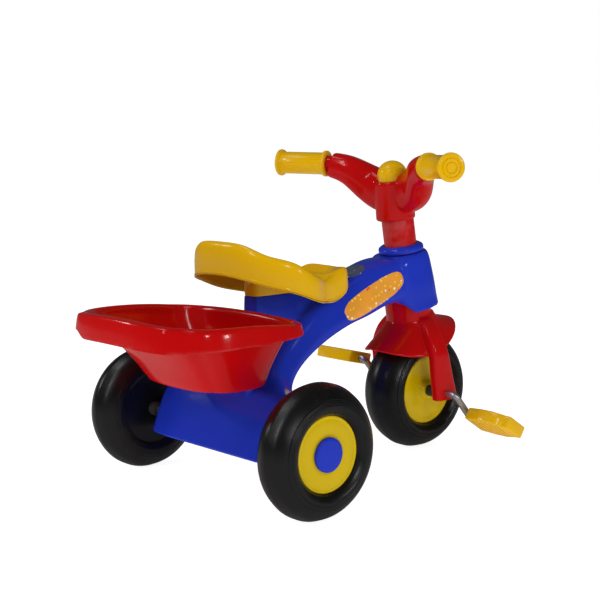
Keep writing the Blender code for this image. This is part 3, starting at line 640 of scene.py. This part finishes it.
def build_seat():
    half = SEAT + [(-x, y, low, rim) for x, y, low, rim in SEAT[-2:0:-1]]
    rows = spline(half, 8, closed=True)
    cx, cy, cz = SEAT_MIDDLE
    rings = []
    for shrink, share, drop in SEAT_RINGS:
        rings.append([(cx + (x - cx) * shrink, cy + (y - cy) * shrink, low + (rim - low) * share - drop)
                      for x, y, low, rim in rows])
    last, _, drop = SEAT_RINGS[-1]
    for shrink in SEAT_DISH:
        rings.append([(cx + (x - cx) * shrink, cy + (y - cy) * shrink,
                       cz + (rim - drop - cz) * (shrink / last) ** 1.6) for x, y, low, rim in rows])
    fine = spline(np.array(rings).reshape(len(rings), -1), 4).reshape(-1, len(rows), 3)
    bm = skin(fine, caps=(False, False), pole=SEAT_MIDDLE)
    for face in bm.faces:
        face.normal_flip()
    seat = solid("seat_skin", bm, AXLE)
    shell(seat, SEAT_WALL)
    low, high = SEAT_FOOT, SEAT_MIDDLE[2] - 1.5
    centre = Vector((0, -92, 0))
    outer = [[centre + Vector((u * a, v * b, z)) for u, v in oval(48, 5)]
             for z, a, b in ((low, 15.6, 45.6), (low + 0.6, 16, 46), (high, 16, 46))]
    inner = [[centre + Vector((u * 13, v * 43, z)) for u, v in oval(40, 5)] for z in (low - 5, high - 2)]
    collar = solid("collar", outward(skin(outer)), AXLE)
    cut(collar, solid("collar room", outward(skin(inner)), AXLE))
    tools = []
    join(seat, collar)
    for y in SEAT_SCREWS:
        join(seat, bar("post", (0, y, low), (0, y, high), 6, AXLE, 24))
        tools.append(bar("pilot", (0, y, low - 5), (0, y, low + 17), 2.4, AXLE, 16))
    cut(seat, *tools)
    dress(seat, "frame", "yellow_plastic", "seat")


# --- basket ---------------------------------------------------------------------------------------
BASKET = [
    # half width, front y, back y, squareness of the front and the back corners, height
    (82, -18.5, 78.5, 2.7, 2.7, 156.0),
    (86.5, -22.5, 83, 2.7, 2.7, 157.0),
    (90, -25, 86.5, 2.75, 2.75, 161.0),
    (99, -27.5, 101, 3.1, 3.0, 184.0),
    (114, -31, 126.5, 3.8, 3.0, 216.0),
    (126.5, -33.5, 150, 4.7, 3.0, 240.0),
    (129.5, -34.5, 156, 5.2, 3.0, 248.7),
    (133.5, -37, 162.5, 5.4, 3.0, 252.8),
    (139.5, -41.5, 171, 5.6, 3.0, 252.2),
    (142.5, -43.5, 174, 5.6, 3.0, 246.5),
    (145.5, -45.5, 177, 5.6, 3.0, 227.5),
]
BASKET_WALL = 2.4                  # thickness of the sheet
FOLD_AT = 0.80                     # where the back panel's folds are, as a share of the half width
FOLD_DEPTH = 4.5
SKIRT = 8                          # first row of the outer skirt
SKIRT_LIFT = {1: (0.42, 11), -1: (0.71, 3)}   # left and right corner: where the edge rises, and how far


def basket_rings(count, steps):
    """Rings from the floor up the walls, over the rim and down the skirt, with two folds at the back."""
    rings = []
    for number, (half, front, back, power_front, power_back, z) in enumerate(spline(BASKET, steps)):
        number /= steps
        ring = []
        middle, reach = (front + back) / 2, (back - front) / 2
        grown = min(max((z - 158) / 85, 0), 1)
        for (u, v), (p, q) in zip(oval(count, power_front), oval(count, power_back)):
            if v > 0:
                u, v = p, q
            x, y = u * half, middle + v * reach
            if v > 0:
                fold = FOLD_DEPTH * (0.4 + 0.6 * grown) * math.exp(-((abs(u) - FOLD_AT) / 0.075) ** 2)
                panel = 3.5 * grown * (1 - min(max((abs(u) - FOLD_AT + 0.04) / 0.1, 0), 1))
                x -= fold * u * 0.7
                y += panel - fold
            rise = grown * (4.9 * v - 5.8 * u * u - 6.6 * v * v)
            rise += grown * 4.5 * max(v, 0) ** 3 * (1 - abs(u) ** 3)
            if number > SKIRT:
                corner = min(max((-v - 0.2) / 0.7, 0), 1)
                start, lift = SKIRT_LIFT[1 if x > 0 else -1]
                beyond = min(max((abs(u) - start) / 0.22, 0), 1)
                beyond = beyond * beyond * (3 - 2 * beyond)
                rise += (number - SKIRT) / 2 * (11 * corner + (lift * beyond - 7) * max(v, 0))
            ring.append((x, y, z + rise))
        rings.append(ring)
    return rings


def build_basket():
    bm = skin(basket_rings(240, 4), caps=(True, False))
    for face in bm.faces:
        face.normal_flip()
    basket = solid("basket_skin", bm, AXLE)
    shell(basket, BASKET_WALL)
    x, y, top = DECK_POST
    for side in (-1, 1):
        boss = [(0, 154.8), (8, 154.8), (8, top + GAP), (2.3, top + GAP), (2.3, top + 5), (0, top + 5)]
        join(basket, turned("boss", boss, AXLE @ Matrix.Translation((side * x, y, 0)), 32))
    dress(basket, "frame", "red_plastic", "basket")


# --- wheels ---------------------------------------------------------------------------------------
# Outer half of a rear tyre's section: radius, distance from its middle
TYRE = [(49.0, 21.3), (52.5, 25.8), (59.5, 29.5), (67.5, 28.2), (76, 22.6), (83, 14.8), (87.5, 4.0)]
GROOVES = (64.0, 66.6, 69.2)


def tyre_profile(radius, bore, stretch, web_in, web_out):
    """Closed (radius, height) profile of a tyre with fine grooves around its shoulders."""
    wall, hole = WALL, AXLE_R + GAP
    scale = (radius - bore) / (REAR_R - TYRE_BORE)
    side = []
    for r, h in spline(TYRE, 14):
        dent = sum(0.55 * math.exp(-((r - g) / 0.42) ** 2) for g in GROOVES)
        rib = 0.35 * math.exp(-((r - 50.4) / 0.7) ** 2)
        side.append((bore + (r - TYRE_BORE) * scale, (h - dent - rib) * stretch))
    rough = [(bore + (r - TYRE_BORE) * scale, h * stretch) for r, h in TYRE]
    inboard = [(r, -h) for r, h in side]
    inside = [(r - wall * 0.4 if r < 62 else r - wall, h - wall) for r, h in rough[1:-1:2]]
    inside = [(r, h) for r, h in inside if h > 0]
    start = [(hole, web_in), (bore, web_in)]
    if abs(web_in + side[0][1]) < 1.0:
        inboard = inboard[1:]
    back = [(bore, web_out), (hole, web_out), (hole, web_out - wall), (bore, web_out - wall)]
    close = [(bore, web_in + wall), (hole, web_in + wall)]
    return start + inboard + side[::-1] + back + inside + [(r, -h) for r, h in inside[::-1]] + close


def build_rear_wheel(side, word):
    body = f"rear_wheel_{word}"
    hub = AXLE @ Matrix.Translation((side * HALF_TRACK, 0, REAR_R)) @ (TO_X if side > 0 else TO_MINUS_X)
    tyre = turned(f"rear_tyre_{word}_skin", tyre_profile(REAR_R, TYRE_BORE, 1.0, -20.9, 18.0), hub, 112)
    dress(tyre, body, "black_plastic", f"rear_tyre_{word}")
    edge = TYRE_BORE - GAP
    cover = [(12, 18.3), (edge, 18.3), (edge, 20.2), (edge - 0.3, 20.8), (edge - 0.9, 21.1), (45.5, 21.1),
             (45.0, 20.8), (44.4, 20.8), (43.9, 21.0), (25.4, 21.0), (24.6, 20.8), (24.2, 20.4), (12, 20.4)]
    disc = turned(f"rear_hub_cover_{word}_skin", cover, hub)
    dress(disc, body, "yellow_plastic", f"rear_hub_cover_{word}", look="disc_plastic")
    cap = [(0, 26.0), (6, 25.98), (12, 25.85), (17, 25.6), (20, 25.25), (21.4, 24.8), (22.0, 24.2),
           (22.3, 23.4), (22.3, 20.9), (20, 20.9), (20, 23.2), (0, 23.2)]
    dress(turned(f"rear_cap_{word}_skin", cap, hub, 72), body, "blue_plastic", f"rear_cap_{word}")


def build_front_wheel():
    web = 20.0
    profile = tyre_profile(FRONT_R, FRONT_BORE, 1.24, -web, web)
    dress(turned("front_tyre_skin", profile, FRONT @ TO_X, 112), "front_wheel", "black_plastic", "front_tyre")
    edge = FRONT_BORE - GAP
    hole = AXLE_R + 0.1
    cover = [(hole, web + GAP), (edge, web + GAP), (edge, HUB_X - 1.0), (edge - 0.4, HUB_X - 0.3),
             (edge - 1.2, HUB_X), (45, HUB_X), (43.6, HUB_X - 0.4), (40, HUB_X - 1.0), (34, HUB_X - 1.3),
             (24, HUB_X - 1.2), (18, HUB_X - 0.7), (16, HUB_X + 0.4), (14.5, HUB_X + 3), (13, HUB_X + 5),
             (11, HUB_X + 6), (hole, HUB_X + 6)]
    for word, turn in (("left", TO_X), ("right", TO_MINUS_X)):
        disc = turned(f"front_hub_cover_{word}_skin", cover, FRONT @ turn)
        dress(disc, "front_wheel", "yellow_plastic", f"front_hub_cover_{word}", look="disc_plastic")


def rounded(corners, radius, steps):
    """Replace each inner corner of a path by a run of points along a curve."""
    corners = [Vector(c) for c in corners]
    out = [corners[0]]
    for before, here, after in zip(corners, corners[1:], corners[2:]):
        start = here + (before - here).normalized() * radius
        end = here + (after - here).normalized() * radius
        for t in np.linspace(0, 1, steps):
            out.append(start * (1 - t) ** 2 + here * 2 * t * (1 - t) + end * t ** 2)
    out.append(corners[-1])
    return out


def build_crank():
    y, z = CRANK_THROW * math.cos(CRANK_ANGLE), CRANK_THROW * math.sin(CRANK_ANGLE)
    reach = PEDAL_X + SPINDLE
    corners = [(-reach, -y, -z), (-CRANK_X - 1, -y, -z), (-CRANK_X, 0, 0),
               (CRANK_X, 0, 0), (CRANK_X + 1, y, z), (reach, y, z)]
    points = rounded(corners, CRANK_BEND, 12)
    rings = []
    side = Vector((0, -z, y)).normalized()
    for i, point in enumerate(points):
        ahead = (points[min(i + 1, len(points) - 1)] - points[max(i - 1, 0)]).normalized()
        across = ahead.cross(side).normalized()
        spot = point + Vector((CRANK_FLOAT, 0, 0))
        for share in ((0.86, 1.0) if i == 0 else (1.0, 0.86) if i == len(points) - 1 else (1.0,)):
            rings.append([spot + (side * math.cos(a) + across * math.sin(a)) * AXLE_R * share
                          for a in 2 * math.pi * np.arange(28) / 28])
    dress(solid("crank_axle_skin", outward(skin(rings)), FRONT), "front_wheel", "steel", "crank_axle")


# Distance from the pedal's inner face, and half its depth there
PEDAL = [(0, 22.2), (28, 27.4), (49, 27.4), (66, 21.6), (68, 20.2), (79, 19.2)]
PEDAL_THICK = 9.0                  # half of it
TREADS = (12, 21, 30, 39, 48, 57)  # grooves, as distances from the inner face
TREAD_WIDE, TREAD_DEEP = 1.7, 0.8  # half the groove's width, and its depth


def build_pedal(side, word):
    y, z = side * CRANK_THROW * math.cos(CRANK_ANGLE), side * CRANK_THROW * math.sin(CRANK_ANGLE)
    place = FRONT @ Matrix.Translation((CRANK_FLOAT, y, z)) @ Matrix.Rotation(PEDAL_PITCH[side], 4, "X")
    ahead = [(side * (PEDAL_X + x), half) for x, half in PEDAL]
    behind = [(x, -half) for x, half in ahead[::-1]]
    pedal = solid(f"pedal_{word}_skin", prism(ahead + behind, -PEDAL_THICK, PEDAL_THICK), place)
    round_edges(pedal, 1.8, 3, 20)
    tools = []
    for x in TREADS:
        half = float(np.interp(x, *zip(*PEDAL))) - 5
        low, high = sorted((side * (PEDAL_X + x - TREAD_WIDE), side * (PEDAL_X + x + TREAD_WIDE)))
        for level in (-PEDAL_THICK, PEDAL_THICK):
            groove = block((low, -half, level - TREAD_DEEP), (high, half, level + TREAD_DEEP))
            tools.append(solid("tread", groove, place))
    near, far = ((side * (PEDAL_X + x), 0, 0) for x in (-5, 60))
    tools.append(bar("bore", near, far, AXLE_R + GAP, place, 28))
    cut(pedal, *tools)
    dress(pedal, f"pedal_{word}", "yellow_plastic", f"pedal_{word}", angle=30)


# --- fork -----------------------------------------------------------------------------------------
BRIM = [
    # height, how far the sides droop, reach to the side, reach fore and aft, slope
    (205, 0, 33.5, 33.5, 0.14),
    (195, 6, 39, 41.5, 0.16),
    (187, 13, 46, 56, 0.18),
    (180.3, 19, 51.5, 70.5, 0.195),
    (175.5, 24, 55, 80.5, 0.203),
]
BRIM_Y = -357.0
LEG = [
    # x, y, z, half depth fore and aft, half thickness
    (24, -355, 200, 14, 7),
    (38, -353.5, 190, 14, 8),
    (51, -352, 173, 14, 8.5),
    (59.5, -354.5, 150, 16, 8.4),
    (60, -360.5, 116, 19, 8.3),
    (60, -368.5, 79.5, 22, 8.3),
]
CROWN_Z = 184.0
WASHER = 3.0                       # between the neck and the frame's tube


def brim_rings(count, wall):
    """Rings of the fork's brim from its neck to its lower edge, on its outside or a wall further in."""
    rings = []
    for height, droop, side_reach, end_reach, slope in spline(BRIM, 6):
        ring = []
        for u, v in oval(count, 2.0):
            z = height - droop * u * u - slope * v * end_reach - wall
            shrink = wall * 0.6
            ring.append((u * (side_reach - shrink), BRIM_Y + v * (end_reach - shrink), z))
        rings.append(ring)
    return rings


def leg_rings(stations):
    """Rings down one fork leg, tilted with its bend."""
    rows = spline(stations, 8)
    rings = []
    for i, (x, y, z, depth, thick) in enumerate(rows):
        ahead = Vector(rows[min(i + 1, len(rows) - 1)][:3]) - Vector(rows[max(i - 1, 0)][:3])
        across = Vector((ahead.z, 0, -ahead.x)).normalized()
        rings.append([Vector((x, y, z)) + across * (u * thick) + Vector((0, v * depth, 0))
                      for u, v in oval(44, 4.5)])
    return rings


def build_fork():
    low, high = along(CROWN_Z), along(TUBE_END) - WASHER - 2 * GAP
    socket = along(SOCKET_Z)
    neck = [(0, high), (NECK_R - 1, high), (NECK_R, high - 1), (NECK_R, low), (0, low)]
    fork = turned("fork_skin", neck, STEER, 96)
    outer, inner = brim_rings(96, 0), brim_rings(96, WALL)
    parts = [solid("brim", outward(skin(outer + inner[::-1])), AXLE)]
    for side in (-1, 1):
        stations = [(side * x, y, z, depth, thick) for x, y, z, depth, thick in LEG]
        parts.append(solid("leg", outward(skin(leg_rings(stations))), AXLE))
    melt(fork, parts, voxel=1.25, rounds=5)
    cut(fork, bar("socket", (0, 0, socket), (0, 0, high + 5), STEM_R + GAP, STEER, 64),
        bar("hole", (-90, 0, 0), (90, 0, 0), AXLE_R + GAP, FRONT, 28))
    dress(fork, "steering", "red_plastic", "fork")


# --- handlebar ------------------------------------------------------------------------------------
ARM = [
    # x, y, z, half height, half thickness
    (0, -323, 386, 25, 19),
    (24, -326, 386.7, 28.7, 22),
    (48, -321, 398.8, 27.5, 22),
    (74, -303.5, 418.5, 21.9, 19.5),
    (98, -290, 427.2, 18.6, 17),
]
GRIP_START = Vector((104, -286.8, 428.7))
GRIP_END = Vector((178.5, -254.7, 430.4))
CUP_LOW, CUP_FLOOR, CUP_RIM = 347.0, 380.0, 407.0
HORN_R, HORN_TOP = 21.6, 434.0
HORN_DOME, HORN_WALL = 20.0, 2.4   # height of its dome, and its thickness


def cup_rings(count):
    """Rings of the cup in the middle of the handlebar, whose foot is longer behind."""
    low, rim = along(CUP_LOW), along(CUP_RIM)
    rings = []
    for z, side, ahead, behind, tilt in ((low, 26.5, 25.2, 32, 3), (low + 2, 27.8, 25.8, 34, 3),
                                         (rim - 1.5, CUP_R, CUP_R, CUP_R, 0),
                                         (rim, CUP_R - 1.5, CUP_R - 1.5, CUP_R - 1.5, 0)):
        rings.append([(u * side, v * (behind if v > 0 else ahead), z + tilt * (1 + v) / 2)
                      for u, v in oval(count, 2)])
    return rings


def arm_rings(stations):
    """Rings out along one arm of the handlebar."""
    rows = spline(stations, 8)
    rings = []
    for i, row in enumerate(rows):
        here = Vector(row[:3])
        ahead = Vector(rows[min(i + 1, len(rows) - 1)][:3]) - Vector(rows[max(i - 1, 0)][:3])
        ahead.normalize()
        across = ahead.cross(Vector((0, 0, 1))).normalized()
        up = across.cross(ahead)
        rings.append([here + up * (u * row[3]) + across * (v * row[4]) for u, v in oval(48, 2.6)])
    return rings


def build_handlebar():
    rim = along(CUP_RIM)
    handlebar = solid("handlebar_skin", outward(skin(cup_rings(72))), STEER)
    parts = []
    for side in (-1, 1):
        stations = [(side * x, *rest) for x, *rest in ARM]
        parts.append(solid("arm", outward(skin(arm_rings(stations))), AXLE))
        start, end = (Vector((side * p.x, p.y, p.z)) for p in (GRIP_START, GRIP_END))
        start = start - (end - start).normalized() * 12
        parts.append(bar("core", start, end * 0.95 + start * 0.05, 12, AXLE, 40))
    melt(handlebar, parts, voxel=1.5, rounds=4)
    floor = along(CUP_FLOOR)
    cut(handlebar, bar("well", (0, 0, floor), (0, 0, rim + 10), HORN_R + 1.2, STEER, 64),
        bar("socket", (0, 0, along(CUP_LOW) - 5), (0, 0, floor - 4), STEM_R + GAP, STEER, 64),
        bar("hole", (0, 0, floor - 12), (0, 0, floor + 8), 2.3, STEER, 16))
    dress(handlebar, "steering", "red_plastic", "handlebar")


def build_grips():
    length = (GRIP_END - GRIP_START).length
    face = [(0, length)]
    for r in (7.4, 13.0):
        face += [(r - 1.3, length), (r - 0.8, length - 0.6), (r - 0.4, length - 1.1), (r + 0.4, length - 1.1),
                 (r + 0.8, length - 0.6), (r + 1.3, length)]
    body = [(17.2, length), (18.6, length - 0.4), (19.6, length - 1.2), (20, length - 2.6),
            (20, length - 4.2), (19.5, length - 5.6), (18.3, length - 6.8), (17.2, length - 7.8),
            (GRIP_R, length - 9.4)]
    body += [(GRIP_R, 8), (17.1, 6.8), (18.2, 6.0), (19.1, 5.2), (19.5, 4.2), (19.5, 1.6), (19.0, 0.7),
             (18.2, 0.3), (12.3, 0.3), (12.3, length - 3.5), (0, length - 3.5)]
    for side, word in ((1, "left"), (-1, "right")):
        start, end = (Vector((side * p.x, p.y, p.z)) for p in (GRIP_START, GRIP_END))
        turn = (end - start).to_track_quat("Z", "Y").to_matrix().to_4x4()
        grip = turned(f"grip_{word}_skin", face + body, AXLE @ Matrix.Translation(start) @ turn, 64)
        dress(grip, "steering", "yellow_plastic", f"grip_{word}", angle=50)


def build_stem_and_horn():
    low, high = along(SOCKET_Z) + GAP, along(CUP_FLOOR) - 4 - GAP
    bore = STEM_R - WALL
    tube = [(bore, low), (STEM_R, low), (STEM_R, high), (2.2, high), (2.2, high - 8), (bore, high - 8)]
    dress(turned("stem_tube_skin", tube, STEER, 72), "steering", "red_plastic", "stem_tube")
    base, top = along(CUP_RIM) - 11, along(HORN_TOP)
    profile = []
    for step in range(19):
        angle = math.pi / 2 * step / 18
        profile.append((HORN_R * math.sin(angle), top - HORN_DOME * (1 - math.cos(angle))))
    inner, room = HORN_R - HORN_WALL, HORN_DOME - HORN_WALL
    profile += [(HORN_R, base), (inner, base)]
    for step in range(12, -1, -1):
        angle = math.pi / 2 * step / 12
        profile.append((inner * math.sin(angle), top - HORN_WALL - room * (1 - math.cos(angle))))
    profile[0] = (0, profile[0][1])
    profile[-1] = (0, profile[-1][1])
    dress(turned("horn_button_skin", profile, STEER, 72), "horn", "yellow_plastic", "horn_button")


# --- labels ---------------------------------------------------------------------------------------
LABEL_LIFT = 0.25                  # of the label's face over the surface under it
LABEL_EDGE = 0.04


def label(name, target, material, centre, half, power, aim, across):
    """A thin printed label laid on the surface of another piece."""
    bm = bmesh.new()
    bm.from_mesh(target.data)
    tree = BVHTree.FromBMesh(bm)
    bm.free()
    aim, across = Vector(aim).normalized(), Vector(across).normalized()
    over = aim.cross(across).normalized()
    rings = []
    for share in (1.0, 0.985, 0.9, 0.8, 0.7, 0.6, 0.5, 0.4, 0.3, 0.2, 0.1):
        ring = []
        for u, v in oval(96, power):
            point = Vector(centre) + across * (u * half[0] * share) + over * (v * half[1] * share)
            from_point = (AXLE @ point) * MM - aim * 0.08
            spot, normal, _, _ = tree.ray_cast(from_point, aim)
            ring.append(spot / MM + normal * (LABEL_LIFT if share < 1 else LABEL_EDGE))
        rings.append(ring)
    pole = sum((Vector(p) for p in rings[-1]), Vector()) / len(rings[-1])
    obj = solid(name, outward(skin(rings, caps=(False, False), pole=pole)), Matrix.Identity(4))
    obj.data.materials.append(material)
    obj.data.shade_smooth()
    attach(obj, "frame")


main = build_frame()
build_collar()
build_seat()
build_basket()
build_rear_wheel(1, "left")
build_rear_wheel(-1, "right")
build_front_wheel()
build_crank()
build_pedal(1, "left")
build_pedal(-1, "right")
build_fork()
build_handlebar()
build_grips()
build_stem_and_horn()
marks = sticker("orange_label", (0.90, 0.36, 0.02), [(0.95, 0.72, 0.05), (0.75, 0.03, 0.02), (0.9, 0.9, 0.85),
                                                     (0.93, 0.55, 0.02)], 150.0)
plaque = sticker("dark_label", (0.05, 0.08, 0.14), [(0.10, 0.14, 0.22), (0.30, 0.34, 0.40)], 160.0)
for side, word in ((1, "left"), (-1, "right")):
    label(f"side_label_{word}", main, marks, (side * 60, -248.5, 244.5), (61, 16.5), 3.0, (-side, 0, 0),
          (0, -0.928, 0.373))
label("top_label", main, plaque, (0, -232, 310), (22, 21), 2.2, (0, 0, -1), (1, 0, 0))

# The nodes that no piece stands for: the washer and spacers are nylon, the rods, nuts and screws steel
NYLON_NODES = ("rear_spacer", "front_spacer", "steering_washer")
for name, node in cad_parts.items():
    if not node.hide_render:
        node.data.materials.clear()
        node.data.materials.append(LOOKS["dark_nylon" if name.startswith(NYLON_NODES) else "steel"])

# --- floor, light and camera ----------------------------------------------------------------------
floor_look = Nodes("floor")
floor_look.shader.inputs["Base Color"].default_value = (0.60, 0.60, 0.60, 1)
floor_look.shader.inputs["Roughness"].default_value = 0.9
floor_look.shader.inputs["Specular IOR Level"].default_value = 0.1
floor_look.shader.inputs["Emission Color"].default_value = (1, 1, 1, 1)
rays = floor_look.add("ShaderNodeLightPath")
glow = floor_look.span(rays.outputs["Is Glossy Ray"], 0, 1, 0.9, 0.05)
floor_look.link(glow, floor_look.shader.inputs["Emission Strength"])
floor = solid("floor", prism([(-6000, -6000), (6000, -6000), (6000, 6000), (-6000, 6000)], -6, -0.05),
              Matrix.Identity(4))
floor.data.materials.append(floor_look.material)

scene = bpy.context.scene
scene.view_settings.view_transform = "Standard"
world = bpy.data.worlds.new("studio")
scene.world = world
world.use_nodes = True
backdrop = world.node_tree.nodes["Background"]
backdrop.inputs["Color"].default_value = (1.0, 1.0, 1.0, 1)
# White to the camera, a soft fill on every surface, and almost dark in reflections
rays = world.node_tree.nodes.new("ShaderNodeLightPath")
strength = world.node_tree.nodes.new("ShaderNodeMapRange")
strength.inputs["To Min"].default_value = 0.07
strength.inputs["To Max"].default_value = 1.0
world.node_tree.links.new(rays.outputs["Is Camera Ray"], strength.inputs["Value"])
fill = world.node_tree.nodes.new("ShaderNodeMath")
fill.operation = "MULTIPLY_ADD"
fill.inputs[1].default_value = 0.22
world.node_tree.links.new(rays.outputs["Is Diffuse Ray"], fill.inputs[0])
world.node_tree.links.new(strength.outputs["Result"], fill.inputs[2])
world.node_tree.links.new(fill.outputs[0], backdrop.inputs["Strength"])


def softbox(name, azimuth, elevation, size, radiance):
    """A rectangular light in the given direction; azimuth 0 is -Y and 90 is +X."""
    data = bpy.data.lights.new(name, "AREA")
    data.shape = "RECTANGLE"
    data.size, data.size_y = size
    data.energy = radiance * size[0] * size[1] * math.pi
    a, e = math.radians(azimuth), math.radians(elevation)
    towards = Vector((math.sin(a) * math.cos(e), -math.cos(a) * math.cos(e), math.sin(e)))
    obj = bpy.data.objects.new(name, data)
    scene.collection.objects.link(obj)
    obj.location = Vector(LIGHT_TARGET) + towards * LIGHT_DISTANCE
    obj.rotation_euler = (-towards).to_track_quat("-Z", "Y").to_euler()


LIGHT_TARGET, LIGHT_DISTANCE = (0, 0.05, 0.22), 3.0
# azimuth, elevation, width and height in metres, radiance
LIGHTS = {
    "near": (252, 20, (0.26, 0.20), 66),
    "side": (286, 12, (0.26, 0.20), 50),
    "far": (128, 24, (0.24, 0.24), 48),
    "rear": (190, 36, (0.20, 1.70), 16),
    "overhead": (150, 66, (1.2, 1.0), 3.8),
}
for name, values in LIGHTS.items():
    softbox(name, *values)

CAMERA_ANGLES = (229.214, 7.942, -0.828)      # azimuth, elevation and roll in degrees
CAMERA_FROM_AXLE = (-1.4256, 1.0926, 0.5091)  # from the ground under the rear axle
CAMERA_LENS = 81.63
azimuth, elevation, roll = (math.radians(a) for a in CAMERA_ANGLES)
back = Vector((math.sin(azimuth) * math.cos(elevation), -math.cos(azimuth) * math.cos(elevation),
               math.sin(elevation)))
right = (-back).cross(Vector((0, 0, 1))).normalized()
up = right.cross(-back)
level_x = right * math.cos(roll) + up * math.sin(roll)
level_y = up * math.cos(roll) - right * math.sin(roll)
camera = bpy.data.objects.new("camera", bpy.data.cameras.new("camera"))
scene.collection.objects.link(camera)
camera.data.sensor_width = 36
camera.data.lens = CAMERA_LENS
pose = Matrix((level_x, level_y, back)).transposed().to_4x4()
pose.translation = Vector(CAMERA_FROM_AXLE) + Vector((0, REAR_AXLE_OFFSET * MM, 0))
camera.matrix_world = pose
scene.camera = camera
